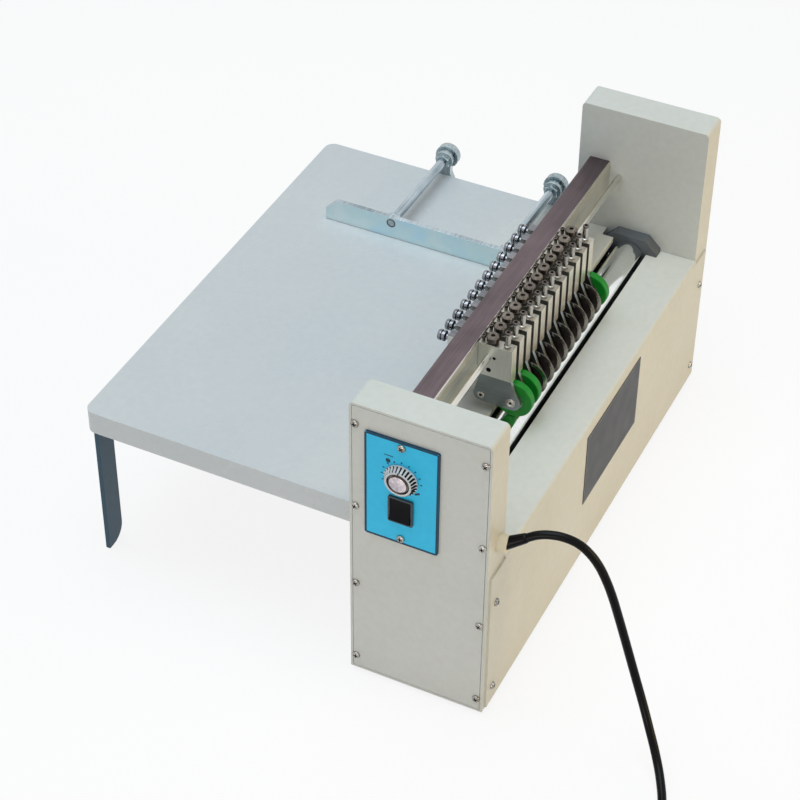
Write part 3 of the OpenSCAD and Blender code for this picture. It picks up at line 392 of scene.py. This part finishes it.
def added(piece, body):
    """The piece stands for no node; it rides on the body."""
    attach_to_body(piece, body)
    return piece


def finished(node, width, *materials, segments=2):
    """The node with rounded edges and its finish."""
    piece = copied_node(node, node + "_finish")
    round_edges(piece, width, segments)
    paint(piece, *materials)
    return attach(piece, node)


def turned(name, profile, sides=24):
    """A turned piece along +Z: a disc extruded through pairs of height and radius, in millimetres."""
    steps = [(height * MM, radius * MM) for height, radius in profile]
    height, radius = steps[0]
    bpy.ops.object.select_all(action="DESELECT")
    bpy.ops.mesh.primitive_circle_add(vertices=sides, radius=radius, fill_type="NGON",
                                      location=(0, 0, height))
    piece = bpy.context.object
    piece.name = name
    settle(piece)
    start_edit(piece)
    bpy.ops.mesh.select_all(action="SELECT")
    for next_height, next_radius in steps[1:]:
        bpy.ops.mesh.extrude_region_move(TRANSFORM_OT_translate={"value": (0, 0, next_height - height)})
        ratio = next_radius / radius
        bpy.ops.transform.resize(value=(ratio, ratio, 1))
        height, radius = next_height, next_radius
    bpy.ops.mesh.select_all(action="SELECT")
    bpy.ops.mesh.normals_make_consistent(inside=False)
    end_edit()
    only(piece)
    bpy.ops.object.shade_smooth_by_angle(angle=radians(40))
    return piece


def cut_block(name, size, place=(0, 0, 0)):
    """A block of that size in metres round place, to be shaped further."""
    bpy.ops.object.select_all(action="DESELECT")
    bpy.ops.mesh.primitive_cube_add(size=1, location=place)
    piece = bpy.context.object
    piece.name = name
    piece.scale = size
    settle(piece)
    return piece


def aimed(piece, place, aim):
    """Turns a piece made along +Z towards aim and moves it to place."""
    piece.rotation_euler = Vector(UP).rotation_difference(Vector(aim)).to_euler()
    piece.location = place
    settle(piece)
    return piece


def twin(piece, name, shift=(0, 0, 0)):
    copy = bpy.data.objects.new(name, piece.data.copy())
    scene.collection.objects.link(copy)
    copy.data.transform(Matrix.Translation(shift))
    return copy


def joined(name, pieces):
    bpy.ops.object.select_all(action="DESELECT")
    for piece in pieces:
        piece.select_set(True)
    bpy.context.view_layer.objects.active = pieces[0]
    bpy.ops.object.join()
    pieces[0].name = name
    return pieces[0]


def loose_parts(piece):
    start_edit(piece)
    bpy.ops.mesh.select_all(action="SELECT")
    bpy.ops.mesh.separate(type="LOOSE")
    end_edit()
    return list(bpy.context.selected_objects)


def box_of(piece):
    points = [v.co for v in piece.data.vertices]
    low = Vector([min(p[k] for p in points) for k in range(3)])
    high = Vector([max(p[k] for p in points) for k in range(3)])
    return low, high


def flute(piece, ridges, depth, low, high):
    """Pulls in every second upright edge of a turned piece between two heights."""
    only(piece)
    bpy.ops.object.mode_set(mode="EDIT")
    bpy.ops.mesh.select_mode(type="VERT")
    bpy.ops.mesh.select_all(action="DESELECT")
    shape = bmesh.from_edit_mesh(piece.data)
    for vertex in shape.verts:
        turn = Vector((1, 0)).angle_signed(vertex.co.xy, 0)
        step = round(turn / (2 * pi) * 2 * ridges)
        vertex.select_set(step % 2 == 0 and low <= vertex.co.z <= high)
    bmesh.update_edit_mesh(piece.data)
    bpy.ops.transform.resize(value=(1 - depth, 1 - depth, 1), center_override=(0, 0, 0))
    end_edit()


# Power cord: the route's points repeat the part's own, in its millimetres

ORIGIN = Vector((-3.85, 182.2, 0))
CORD_D = 7 * MM
CORD_POINTS = [(-209.08, -18.41, 179.47), (-206, -26.1, 183.05), (-203, -36.2, 184.9),
               (-200.5, -46.5, 184), (-198.2, -56, 180), (-196.5, -64.5, 172.5), (-195.2, -72, 162),
               (-194.5, -78.5, 149), (-194.2, -84.5, 134), (-194.5, -90.5, 117), (-195.5, -97, 99),
               (-197.5, -104, 81), (-201, -112, 63), (-206.5, -121, 46), (-215, -131, 30.5),
               (-227, -142, 18), (-242.5, -152.5, 9.5), (-260.5, -161, 5.8), (-279.5, -166.5, 4.8),
               (-298, -169, 4.6), (-312, -170, 4.6), (-323, -170, 4.6)]
COIL_START = Vector((-330, -170, 4.6))
COIL_R = 50
COIL_PITCH = 7.7
COIL_RISE = 7.6
COIL_RINGS = 24
COIL_TURNS = 3
COIL_TAIL = 44


def coil_point(step):
    """The coil spirals in on the floor, climbs one layer in half a turn, and spirals out on top."""
    half = COIL_TURNS * COIL_RINGS
    rise = min(1, max(0, (step - half) / (COIL_RINGS / 2) + 0.5))
    layer = rise * rise * (3 - 2 * rise)
    turn = pi / 2 + 2 * pi * step / COIL_RINGS
    radius = COIL_R - COIL_PITCH * (half - abs(half - step)) / COIL_RINGS
    middle = COIL_START - Vector((0, COIL_R, 0))
    return middle + Vector((radius * cos(turn), radius * sin(turn), COIL_RISE * layer))


def make_cord():
    coil = [coil_point(step) for step in range(2 * COIL_TURNS * COIL_RINGS + 1)]
    route = [Vector(p) for p in CORD_POINTS] + coil + [coil[-1] - Vector((COIL_TAIL, 0, 0))]
    data = bpy.data.curves.new("mains_cord", "CURVE")
    data.dimensions = "3D"
    data.bevel_depth = CORD_D / 2
    data.bevel_resolution = 4
    data.resolution_u = 4
    data.use_fill_caps = True
    line = data.splines.new("BEZIER")
    line.bezier_points.add(len(route) - 1)
    for knot, place in zip(line.bezier_points, route):
        knot.co = (place - ORIGIN) * MM
        knot.handle_left_type = "AUTO"
        knot.handle_right_type = "AUTO"
    cord = bpy.data.objects.new("mains_cord", data)
    scene.collection.objects.link(cord)
    data.materials.append(CORD_PVC)
    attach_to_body(cord, "machine")
    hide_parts("power_cord", "cord_coil")
    return cord, (route[0] - ORIGIN) * MM


def make_plug():
    """A moulded plug with a soft edge and bright pins."""
    plug = finished("power_plug", 0.6 * MM, CORD_PVC, CHROME, segments=3)
    pin_reach = 16.5 * MM
    pins = box_of(plug)[0].x + pin_reach
    paint_faces(plug, 1, lambda at, normal: at.x < pins)
    return plug


def make_tie():
    """A flat strap round the coil's turns, on the side away from the machine."""
    centre = (COIL_START - Vector((0, COIL_R, 0)) - ORIGIN) * MM
    inner = COIL_R - (COIL_TURNS - 0.5) * COIL_PITCH
    outer = COIL_R - 0.5 * COIL_PITCH
    thick = 0.9
    width = 5
    corner = 3 * MM
    margin = CORD_D / MM / 2 + thick
    size = Vector((width, outer - inner + 2 * margin, COIL_RISE + 2 * margin)) * MM
    middle = Vector((0, -(outer + inner) / 2, COIL_RISE / 2)) * MM
    tie = cut_block("cord_tie", size)
    start_edit(tie)
    pick_faces(tie, lambda at, normal: abs(normal.x) > 0.9)
    bpy.ops.mesh.delete(type="FACE")
    end_edit()
    round_edges(tie, corner, 5)
    wall = tie.modifiers.new("strap", "SOLIDIFY")
    wall.thickness = thick * MM
    wall.offset = -1
    bpy.ops.object.modifier_apply(modifier="strap")
    tie.location = centre + middle
    settle(tie)
    paint(tie, BLACK_ABS)
    return added(tie, "machine")


cord, cord_exit = make_cord()
plug = make_plug()
tie = make_tie()


GLAND_PLACE = Vector((-215, 0, 172.5))
SLEEVE_AIM = Vector((0.3403, -0.8509, 0.4003))
SLEEVE_SEAT = 3.5
COLLAR_R = 7.5


def make_gland():
    """The cord gland: a rounded cream collar, and a tapered black sleeve whose lip closes round the cord."""
    place = (GLAND_PLACE - ORIGIN) * MM
    collar = turned("gland_collar", [(-2, 5), (0, 5), (0, COLLAR_R), (4.5, COLLAR_R), (6, COLLAR_R * 0.93),
                                     (6.8, COLLAR_R * 0.8), (7, COLLAR_R * 0.66)], 40)
    paint(collar, CREAM_NYLON)
    aimed(collar, place, (0, -1, 0))
    sleeve = turned("gland_sleeve", [(0, 5.3), (3, 5.1), (8, 4.75), (13, 4.35), (16.8, 4.05), (17.8, 3.85),
                                     (18.2, 3.55)], 32)
    paint(sleeve, CORD_PVC)
    aimed(sleeve, place - Vector((0, SLEEVE_SEAT * MM, 0)), SLEEVE_AIM)
    attach(joined("cord_gland_finish", [collar, sleeve]), "cord_gland")


make_gland()


# Housings, covers, table and rigid frame

for name in ("near_housing", "far_housing", "near_end_cover", "far_end_cover"):
    finished(name, 0.7 * MM, WARM_PAINT, segments=3)
finished("rear_cover", 0.5 * MM, WARM_PAINT)


def make_front_cover():
    """The front cover: its shelf's hem reaches back towards the roller, and its inside is painted near black
    as shade.
    """
    cover = copied_node("front_cover", "front_cover_finish")
    hem = 4.4 * MM
    wall_foot = 20 * MM
    low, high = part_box("front_cover")
    start_edit(cover)
    pick_faces(cover, lambda at, normal: at.y > high.y - 0.1 * MM and normal.y > 0.9)
    bpy.ops.transform.translate(value=(0, hem, 0))
    end_edit()
    round_edges(cover, 0.5 * MM)
    paint(cover, WARM_PAINT, INSIDE_SHADE_PAINT)
    inside = low.z + wall_foot
    # The inside faces are painted near black as shade, for the gap before the roller.
    paint_faces(cover, 1, lambda at, normal: normal.y > 0.5 or (normal.z < -0.5 and at.z > inside))
    attach(cover, "front_cover")


make_front_cover()
finished("feed_table", 0.8 * MM, TABLE_PAINT, segments=3)
finished("table_legs", 0.6 * MM, LEG_PAINT)
# The beam is browned all over but for its ground front face; the bevelled edge above it is painted bright
# chrome as a highlight
beam = finished("blade_beam", 0.45 * MM, BROWN_STEEL, BEAM_FACE, CHROME)
paint_faces(beam, 1, lambda at, normal: normal.y < -0.9)
paint_faces(beam, 2, lambda at, normal: -0.9 < normal.y < -0.3 and normal.z > 0.3)
finished("bearing_blocks", 0.8 * MM, BLOCK_PAINT)
# The fence's top edge is streaked, as its rods are
fence = finished("guide_fence", 0.5 * MM, ZINC, DRAWN_ZINC)
paint_faces(fence, 1, lambda at, normal: normal.z > 0.5)
finished("fence_rods", 0.5 * MM, DRAWN_ZINC)
finished("guide_posts", 0.8 * MM, POST_ZINC)
for name in ("lock_knob_1", "lock_knob_2"):
    finished(name, 0.3 * MM, POST_ZINC)
finished("feed_roller", 0.5 * MM, BRIGHT_STEEL)
finished("switch_bezel", 0.5 * MM, BEZEL_ABS)
for name, material in (("guide_rod", ROD_STEEL), ("base_plate", GALVANISED), ("rubber_feet", RUBBER),
                       ("roller_gear", BRASS), ("motor_pinion", MOTOR_STEEL), ("gear_motor", MOTOR_STEEL),
                       ("control_box", BLACK_ABS)):
    paint(nodes[name], material)


# Screws: the head, and the length, width and depth of the bars that cut its recess, in millimetres.
# The bars' middle lies a little above the head.

HEAD_D = 6.6
HEAD_H = 2.2
RECESS = (3.9, 1.0, 2.4)
RECESS_LIFT = 0.1


def make_screw():
    """A pan-head screw with a cross recess, along +Z, with its seat at the origin."""
    radius = HEAD_D / 2
    screw = turned("pan_screw", [(-4, radius * 0.5), (0, radius * 0.5), (0, radius), (0.9, radius),
                                 (1.5, radius * 0.93), (1.95, radius * 0.74), (HEAD_H, radius * 0.42)], 28)
    long, wide, deep = RECESS
    middle = (HEAD_H + RECESS_LIFT) * MM
    cross = ((long, wide, deep), (wide, long, deep))
    bars = [cut_block("recess_bar", Vector(size) * MM, (0, 0, middle)) for size in cross]
    only(screw)
    for bar in bars:
        recess = screw.modifiers.new("recess", "BOOLEAN")
        recess.operation = "DIFFERENCE"
        recess.solver = "EXACT"
        recess.object = bar
        bpy.ops.object.modifier_apply(modifier="recess")
    for bar in bars:
        bpy.data.objects.remove(bar)
    only(screw)
    bpy.ops.object.shade_smooth_by_angle(angle=radians(38))
    paint(screw, SCREW_STEEL, BLACK_ABS)
    # The recess's floor is painted black as shade.
    floor = middle - deep / 2 * MM
    paint_faces(screw, 1, lambda at, normal: at.xy.length < 2 * MM and abs(at.z - floor) < 0.1 * MM)
    return screw


def solid_boxes(node):
    """Lowest and highest corners of each separate solid in a node."""
    copy = copied_node(node, "solids")
    parts = loose_parts(copy)
    boxes = [box_of(part) for part in parts]
    for part in parts:
        bpy.data.objects.remove(part)
    return boxes


def make_screws():
    """A screw in place of each solid of the three groups, each turned differently, as driven by hand."""
    model = make_screw()
    turn = radians(37)
    for node in ("cover_screws", "leg_screws", "panel_screws"):
        copies = []
        for k, (low, high) in enumerate(solid_boxes(node)):
            size = high - low
            centre = (low + high) / 2
            axis = 0 if size.x > size.y else 1
            side = 1 if centre[axis] > 0 else -1
            aim = Vector((0, 0, 0))
            aim[axis] = side
            outer = high[axis] if side > 0 else low[axis]
            seat = centre.copy()
            seat[axis] = outer - side * HEAD_H * MM
            screw = twin(model, "screw")
            screw.data.transform(Matrix.Rotation(turn * k, 4, "Z"))
            copies.append(aimed(screw, seat, aim))
        attach(joined(node + "_finish", copies), node)
    bpy.data.objects.remove(model)


make_screws()


def make_block_screws():
    """Two small cap screws on the inner face of each bearing block."""
    radius = 2.6
    inset = 7 * MM
    rise = 12 * MM
    model = turned("cap_screw", [(-2, radius * 0.5), (0, radius * 0.5), (0, radius), (1.6, radius),
                                 (2, radius * 0.88), (2, radius * 0.52), (0.8, radius * 0.5)], 24)
    paint(model, CHROME)
    heads = []
    for low, high in solid_boxes("bearing_blocks"):
        side = 1 if low.x < 0 else -1
        face = high.x if side > 0 else low.x
        for along in (low.y + inset, high.y - inset):
            heads.append(aimed(twin(model, "block_screw"), (face, along, low.z + rise), (side, 0, 0)))
    bpy.data.objects.remove(model)
    added(joined("block_screws", heads), "machine")


make_block_screws()


def make_fence_rings():
    """A dark ring round each rod's end on the fence's near face, painted as the shade of the groove round the
    rod.
    """
    outer = 4.3
    inner = 3.3
    axis_in = 6.5 * MM
    axis_z = 175.5 * MM
    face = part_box("guide_fence")[0].x
    model = turned("fence_ring", [(-0.6, outer), (0.2, outer), (0.5, outer * 0.92), (0.5, inner),
                                  (0.1, inner * 0.96)], 36)
    paint(model, DARK_CHROME, DRAWN_ZINC)
    paint_faces(model, 1, lambda at, normal: at.xy.length < inner * 0.9 * MM and normal.z > 0.5)
    low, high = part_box("fence_rods")
    rings = []
    for along in (low.y + axis_in, high.y - axis_in):
        rings.append(aimed(twin(model, "fence_ring"), (face, along, axis_z), (-1, 0, 0)))
    bpy.data.objects.remove(model)
    added(joined("fence_rod_shade_rings", rings), body_of["guide_fence"])


make_fence_rings()


# Disc holders: the saddle's slots, then sizes in millimetres

HOLDERS = 12
NEAR_SIDE = 1
TOP_FACE = 2
BACK_LUG = 3
FAR_SIDE = 4
TOP_EDGE_HIGHLIGHT = 5
KNURLS = 22
KNOB_H = 7
LOCK_H = 14.6
LOCK_STEM = 2.5
LOCK_HEAD_H = 3
CLAMP_BEFORE = 2.6
SOCKET_R = 1.3
# Radius of each grub screw in the saddle's side, and how far it lies before the beam and below the top
SIDE_GRUBS = ((2.1, 9.6, 25), (1.4, 14, 12))


def round_head(corners):
    """Centre of a screw's solid, and its radius in millimetres."""
    low, high = corners
    return (low + high) / 2, (high.x - low.x) / 2 / MM


def paint_saddle(saddle):
    """Nickel in front, steel sides, an oiled top whose bevelled edges are chrome as a painted highlight, and
    a dark lug behind the beam.
    """
    top = box_of(saddle)[1].z - MM
    beam_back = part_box("blade_beam")[1].y
    paint(saddle, NICKEL, SIDE_STEEL, TOP_STEEL, THUMB_STEEL, GAP_SHADE_STEEL, CHROME)
    paint_faces(saddle, NEAR_SIDE, lambda at, normal: normal.x < -0.9)
    paint_faces(saddle, FAR_SIDE, lambda at, normal: normal.x > 0.9)
    paint_faces(saddle, TOP_FACE, lambda at, normal: normal.z > 0.9 and at.z > top)
    paint_faces(saddle, BACK_LUG, lambda at, normal: at.y > beam_back)
    # The top's bevelled edges are painted chrome as a highlight.
    paint_faces(saddle, TOP_EDGE_HIGHLIGHT, lambda at, normal: max(map(abs, normal)) < 0.96 and at.z > top)


def make_depth_knob(corners):
    """A knurled knob on a short neck, with a small socket in its top."""
    centre, radius = round_head(corners)
    knob = turned("depth_knob", [(0, radius * 0.5), (1.5, radius * 0.5), (1.5, radius * 0.9), (2.1, radius),
                                 (6, radius), (6.7, radius * 0.86), (KNOB_H, radius * 0.8),
                                 (KNOB_H, radius * 0.34), (5.6, radius * 0.3)], 2 * KNURLS)
    flute(knob, KNURLS, 0.1, 2 * MM, 6.1 * MM)
    paint(knob, DARK_CHROME, KNOB_STEEL)
    paint_faces(knob, 1, lambda at, normal: normal.z > 0.3 and at.z > 6.2 * MM)
    return aimed(knob, (centre.x, centre.y, corners[1].z - KNOB_H * MM), UP)


def make_clamp_screw(place):
    """A small socket screw in front of the beam."""
    screw = turned("clamp_screw", [(-1, 1.4), (2.2, 1.4), (2.2, 1.9), (4.6, 1.9), (5, 1.5), (5, 0.9),
                                   (4, 0.8)], 20)
    paint(screw, DARK_CHROME)
    return aimed(screw, place, UP)


def make_lock_screw(corners):
    """A tall pin on a collar, with a dark socket head."""
    centre, radius = round_head(corners)
    stem = LOCK_STEM
    pin = turned("lock_screw", [(0, radius * 0.9), (0.3, radius), (1.4, radius), (1.8, stem * 1.2),
                                (2.2, stem), (12.2, stem), (12.4, stem * 0.9), (12.7, stem * 1.06),
                                (14.2, stem * 1.06), (LOCK_H, stem * 0.9), (LOCK_H, stem * 0.56),
                                (13.2, stem * 0.54)], 24)
    paint(pin, SCREW_STEEL, DARK_CHROME, BLACK_ABS)
    paint_faces(pin, 1, lambda at, normal: at.z > 12.3 * MM)
    # The socket inside the head is painted black as shade.
    paint_faces(pin, 2, lambda at, normal: at.z > 12.9 * MM and at.xy.length < stem * 0.6 * MM)
    return aimed(pin, (centre.x, centre.y, corners[1].z - LOCK_HEAD_H * MM), UP)


def make_grub_screw(size, place):
    """A black grub screw, or a black disc painted as the shade in a bolt's socket, a hair proud of the face
    that it sits in.
    """
    grub = turned("grub_screw", [(-1, size), (0.12, size), (0.2, size * 0.92), (0.2, size * 0.5),
                                 (0.05, size * 0.46)], 24)
    paint(grub, BLACK_ABS)
    return aimed(grub, place, (-1, 0, 0))


def make_thumb_screw(corners):
    """A thumb screw behind the beam: a stem and two rims with a groove between them."""
    centre, radius = round_head(corners)
    end = (corners[1].y - corners[0].y) / MM
    screw = turned("thumb_screw", [(0, radius * 0.5), (end - 7.4, radius * 0.5), (end - 7, radius * 0.8),
                                   (end - 6.4, radius), (end - 4.4, radius), (end - 4, radius * 0.72),
                                   (end - 3.4, radius * 0.72), (end - 3, radius), (end - 1.2, radius),
                                   (end - 0.4, radius * 0.88), (end, radius * 0.6)], 28)
    paint(screw, THUMB_STEEL)
    return aimed(screw, (centre.x, corners[0].y, centre.z), (0, 1, 0))


def make_holder_model():
    """The first holder: CAD saddle, plate and bolts with soft edges, and turned, knurled screw heads."""
    parts = loose_parts(copied_node("holder_01", "holder_part"))
    sizes = {part: box_of(part) for part in parts}
    reach = {part: (high - low).length for part, (low, high) in sizes.items()}
    thumb = max(parts, key=lambda p: sizes[p][0].y)
    saddle = max(parts, key=lambda p: reach[p])
    rest = [p for p in parts if p not in (saddle, thumb)]
    on_top = sorted(rest, key=lambda p: sizes[p][1].z)[-2:]
    lock, knob = sorted(on_top, key=lambda p: sizes[p][1].y - sizes[p][0].y)
    plain = [p for p in rest if p not in on_top]
    plate = max(plain, key=lambda p: reach[p])
    made = [saddle] + plain
    for part in made:
        round_edges(part, 0.3 * MM)
        paint(part, ARM_STEEL if part == plate else CHROME)
    paint_saddle(saddle)
    side = sizes[saddle][0].x
    top = sizes[saddle][1].z
    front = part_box("blade_beam")[0].y
    across = round_head(sizes[knob])[0].x
    made.append(make_depth_knob(sizes[knob]))
    made.append(make_clamp_screw((across, front - CLAMP_BEFORE * MM, top)))
    made.append(make_lock_screw(sizes[lock]))
    for size, before, below in SIDE_GRUBS:
        made.append(make_grub_screw(size, (side, front - before * MM, top - below * MM)))
    # Each bolt's end gets a black disc, painted as the shade in its socket.
    for bolt in plain:
        if bolt != plate:
            low, high = sizes[bolt]
            made.append(make_grub_screw(SOCKET_R, (low.x, (low.y + high.y) / 2, (low.z + high.z) / 2)))
    made.append(make_thumb_screw(sizes[thumb]))
    for part in (thumb, knob, lock):
        bpy.data.objects.remove(part)
    return joined("holder_model", made)


def make_holders():
    """Twelve copies; the sides that face a neighbour are painted darker as shade between the holders, the two
    outer ones are not.
    """
    model = make_holder_model()
    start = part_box("holder_01")[0]
    for k in range(1, HOLDERS + 1):
        node = f"holder_{k:02d}"
        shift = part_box(node)[0] - start
        holder = twin(model, node + "_finish", (shift.x, 0, 0))
        # Sides that face a neighbour get the darker steel as painted shade.
        holder.data.materials[NEAR_SIDE] = SIDE_STEEL if k == 1 else GAP_SHADE_STEEL
        holder.data.materials[FAR_SIDE] = SIDE_STEEL if k == HOLDERS else GAP_SHADE_STEEL
        attach(holder, node)
    bpy.data.objects.remove(model)


make_holders()


# Discs: bare blades, and press wheels with rounded tyres

for name in [n for n in nodes if n.startswith("blade_") and n != "blade_beam"]:
    paint(nodes[name], BLADE_STEEL)
for name in [n for n in nodes if n.startswith("press_wheel_")]:
    finished(name, 1.2 * MM, TYRED_WHEEL, segments=3)


# Speed panel

def flat_bar(name, size, place, turn=0.0):
    """A printed mark on the near panel: a thin bar in Y and Z, its face inset."""
    thick = 0.16 * MM
    bar = cut_block(name, (thick, size[0], size[1]))
    start_edit(bar)
    pick_faces(bar, lambda at, normal: normal.x < -0.9)
    bpy.ops.mesh.inset(thickness=min(size) * 0.12)
    end_edit()
    bar.rotation_euler = (turn, 0, 0)
    bar.location = place
    settle(bar)
    return bar


def make_panel():
    """The speed panel: a blue printed face, a navy border, tick marks round the knob, a dot and a rule."""
    panel = finished("speed_panel", 0.5 * MM, BLUE_PRINT, DARK_PRINT, segments=3)
    # The panel's sides and bevels are painted navy as shade along its edges.
    paint_faces(panel, 1, lambda at, normal: normal.x > -0.97)
    low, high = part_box("speed_panel")
    middle = (low + high) / 2
    face = low.x - 0.05 * MM
    width = high.y - low.y
    height = high.z - low.z
    rim = 1.7 * MM
    edge = rim / 2 + 0.1 * MM
    sides = [flat_bar("rim", (width - 2 * rim, rim), (face, middle.y, high.z - edge)),
             flat_bar("rim", (width - 2 * rim, rim), (face, middle.y, low.z + edge)),
             flat_bar("rim", (rim, height - rim), (face, low.y + edge, middle.z)),
             flat_bar("rim", (rim, height - rim), (face, high.y - edge, middle.z))]
    border = joined("panel_border", sides)
    paint(border, DARK_PRINT)
    added(border, "machine")
    knob_low, knob_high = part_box("speed_knob")
    axis = (knob_low + knob_high) / 2
    ring = (knob_high.y - knob_low.y) / 2 + 2.3 * MM
    ticks = [radians(-110 + 22 * k) for k in range(10)]
    stop = radians(126)
    stop_lean = radians(60)

    def on_ring(turn):
        return face, axis.y - ring * sin(turn), axis.z + ring * cos(turn)

    marks = [flat_bar("tick", (1.0 * MM, 1.7 * MM), on_ring(turn), turn) for turn in ticks]
    marks.append(flat_bar("stop_mark", (1.7 * MM, 4.4 * MM), on_ring(stop), stop_lean))
    marks.append(flat_bar("rule", (7.5 * MM, 0.7 * MM), (face, axis.y + 10.5 * MM, axis.z + 19.5 * MM)))
    dial = joined("dial_marks", marks)
    paint(dial, DARK_PRINT)
    added(dial, "machine")
    dot = turned("dial_dot", [(0, 2.0), (0.1, 2.0), (0.16, 1.8)], 24)
    paint(dot, DARK_PRINT)
    aimed(dot, (low.x, axis.y + 11 * MM, axis.z + 14.5 * MM), (-1, 0, 0))
    added(dot, "machine")


make_panel()


def on_rib(at, ridges):
    """True on every second rib's width round the knob."""
    turn = (Vector((1, 0)).angle_signed(at.xy, 0) / (2 * pi)) % 1
    return int(turn * 2 * ridges) % 2 == 0


def make_speed_knob():
    """A low clear dial knob: a flange, a cone of ribs with every second flank painted black as shade, a
    groove painted dark as shade, and a mottled cap.
    """
    low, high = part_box("speed_knob")
    middle = (low + high) / 2
    radius = (high.y - low.y) / 2 / MM
    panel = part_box("speed_panel")[0].x
    height = (panel - low.x) / MM
    ridges = 26
    foot = 2
    rim = height - 1.6
    groove = height - 2.9
    skirt = turned("speed_knob_skirt", [(0.4, radius * 0.9), (0.4, radius), (foot, radius),
                                        (foot + 0.3, radius * 0.96), (rim - 0.4, radius * 0.84),
                                        (rim, radius * 0.8), (rim, radius * 0.68), (groove, radius * 0.64),
                                        (groove, radius * 0.5)], 2 * ridges)
    flute(skirt, ridges, 0.06, (foot + 0.1) * MM, (rim - 0.3) * MM)
    paint(skirt, ACRYLIC, BLACK_ABS, DARK_CHROME)
    cone = radius * 0.8 * MM
    inner = radius * 0.67 * MM
    low_rib = foot * MM
    high_rib = rim * MM
    # Every second rib's flank is painted black, and the groove dark, as shade.
    paint_faces(skirt, 1, lambda at, normal: low_rib < at.z < high_rib and at.xy.length > cone
                and on_rib(at, ridges))
    paint_faces(skirt, 2, lambda at, normal: at.xy.length < inner and at.z > low_rib)
    aimed(skirt, (panel, middle.y, middle.z), (-1, 0, 0))
    attach(skirt, "speed_knob")
    cap = turned("speed_knob_cap", [(groove, radius * 0.52), (height - 1.1, radius * 0.52),
                                    (height - 0.5, radius * 0.46), (height - 0.8, radius * 0.36),
                                    (height - 0.2, radius * 0.24), (height, radius * 0.1)], 40)
    paint(cap, CAP_FOIL)
    aimed(cap, (panel, middle.y, middle.z), (-1, 0, 0))
    added(cap, "speed")
    line = flat_bar("speed_knob_pointer", (1.0 * MM, radius * 0.14 * MM),
                    (panel - (rim + 0.05) * MM, middle.y, middle.z + radius * 0.74 * MM))
    paint(line, DARK_PRINT)
    added(line, "speed")


make_speed_knob()
finished("rocker_switch", 0.5 * MM, BLACK_ABS, segments=3)


# Plate on the front cover, left bare

def make_front_plate():
    """A thin lacquered plate; the faces in the outer fifth of its width or height are its pale rim."""
    width = 116 * MM
    height = 73 * MM
    thick = 0.6 * MM
    rim = 1.4 * MM
    rim_from = 0.4
    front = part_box("front_cover")[0].y
    centre = Vector((18.9 * MM, front - thick / 2, 103.5 * MM))
    plate = cut_block("front_plate", (width, thick, height), centre)
    start_edit(plate)
    pick_faces(plate, lambda at, normal: normal.y < -0.9)
    bpy.ops.mesh.inset(thickness=rim)
    end_edit()
    paint(plate, PLATE_GREY, PLATE_RIM)

    def on_rim(at, normal):
        off = at - centre
        return normal.y < -0.9 and max(abs(off.x) / width, abs(off.z) / height) > rim_from

    paint_faces(plate, 1, on_rim)
    round_edges(plate, 0.15 * MM)
    added(plate, "machine")


make_front_plate()


# Floor, light and background

FLOOR_SIZE = 12
FLOOR_DROP = 0.2 * MM
FLOOR_GLOW = 0.85
WORLD_GLOW = 0.32


def white_rays(tree):
    """1 for what the camera sees directly, in a mirror or through glass."""
    path = add_node(tree, "ShaderNodeLightPath")
    seen = add_node(tree, "ShaderNodeMath",
                    {0: path.outputs["Is Camera Ray"], 1: path.outputs["Is Glossy Ray"]}, operation="MAXIMUM")
    through = add_node(tree, "ShaderNodeMath",
                       {0: seen.outputs[0], 1: path.outputs["Is Transmission Ray"]}, operation="MAXIMUM")
    return through.outputs[0]


def make_stage():
    """A pale floor, lifted towards white for the camera and mirrors; it keeps part of the shadow."""
    bpy.ops.object.select_all(action="DESELECT")
    bpy.ops.mesh.primitive_plane_add(size=FLOOR_SIZE, location=(0, 0, -FLOOR_DROP))
    floor = bpy.context.object
    floor.name = "floor"
    material, tree, shader, place = new_material("pale_floor", Roughness=0.9, Specular_IOR_Level=0.1,
                                                 Base_Color=linear("#f8f8f8"))
    glow = add_node(tree, "ShaderNodeEmission", {"Color": (1, 1, 1, 1), "Strength": 1.0})
    share = add_node(tree, "ShaderNodeMath", {0: white_rays(tree), 1: FLOOR_GLOW}, operation="MULTIPLY")
    mix = add_node(tree, "ShaderNodeMixShader",
                   {0: share.outputs[0], 1: shader.outputs[0], 2: glow.outputs[0]})
    tree.links.new(mix.outputs[0], tree.nodes["Material Output"].inputs["Surface"])
    paint(floor, material)


def area_light(name, place, target, size, power, colour, fan=180):
    """A soft lamp in metres and watts; fan is the angle in degrees that its light spreads to."""
    data = bpy.data.lights.new(name, "AREA")
    data.size = size
    data.energy = power
    data.spread = radians(fan)
    data.color = linear(colour)[:3]
    lamp = bpy.data.objects.new(name, data)
    scene.collection.objects.link(lamp)
    lamp.location = place
    lamp.rotation_euler = (Vector(target) - Vector(place)).to_track_quat("-Z", "Y").to_euler()


def make_world():
    """A dim sky for light, seen as plain white."""
    world = bpy.data.worlds.new("studio")
    scene.world = world
    world.use_nodes = True
    tree = world.node_tree
    ground = tree.nodes["Background"]
    ground.inputs["Color"].default_value = linear("#eef2f6")
    ground.inputs["Strength"].default_value = WORLD_GLOW
    white = add_node(tree, "ShaderNodeBackground", {"Color": (1, 1, 1, 1), "Strength": 1.0})
    mix = add_node(tree, "ShaderNodeMixShader",
                   {0: white_rays(tree), 1: ground.outputs[0], 2: white.outputs[0]})
    tree.links.new(mix.outputs[0], tree.nodes["World Output"].inputs["Surface"])


make_stage()
make_world()
area_light("top_softbox", (-0.15, 0.15, 2.2), (0, 0, 0.1), 1.8, 34, "#e3f3fb")
area_light("warm_front", (0.25, -1.9, 0.62), (0, 0, 0.05), 0.9, 3.9, "#ffd25e", fan=100)
area_light("near_fill", (-1.3, -0.3, 0.32), (-0.24, -0.12, 0.12), 0.3, 2.0, "#fff0dd")
scene.view_settings.view_transform = "Standard"
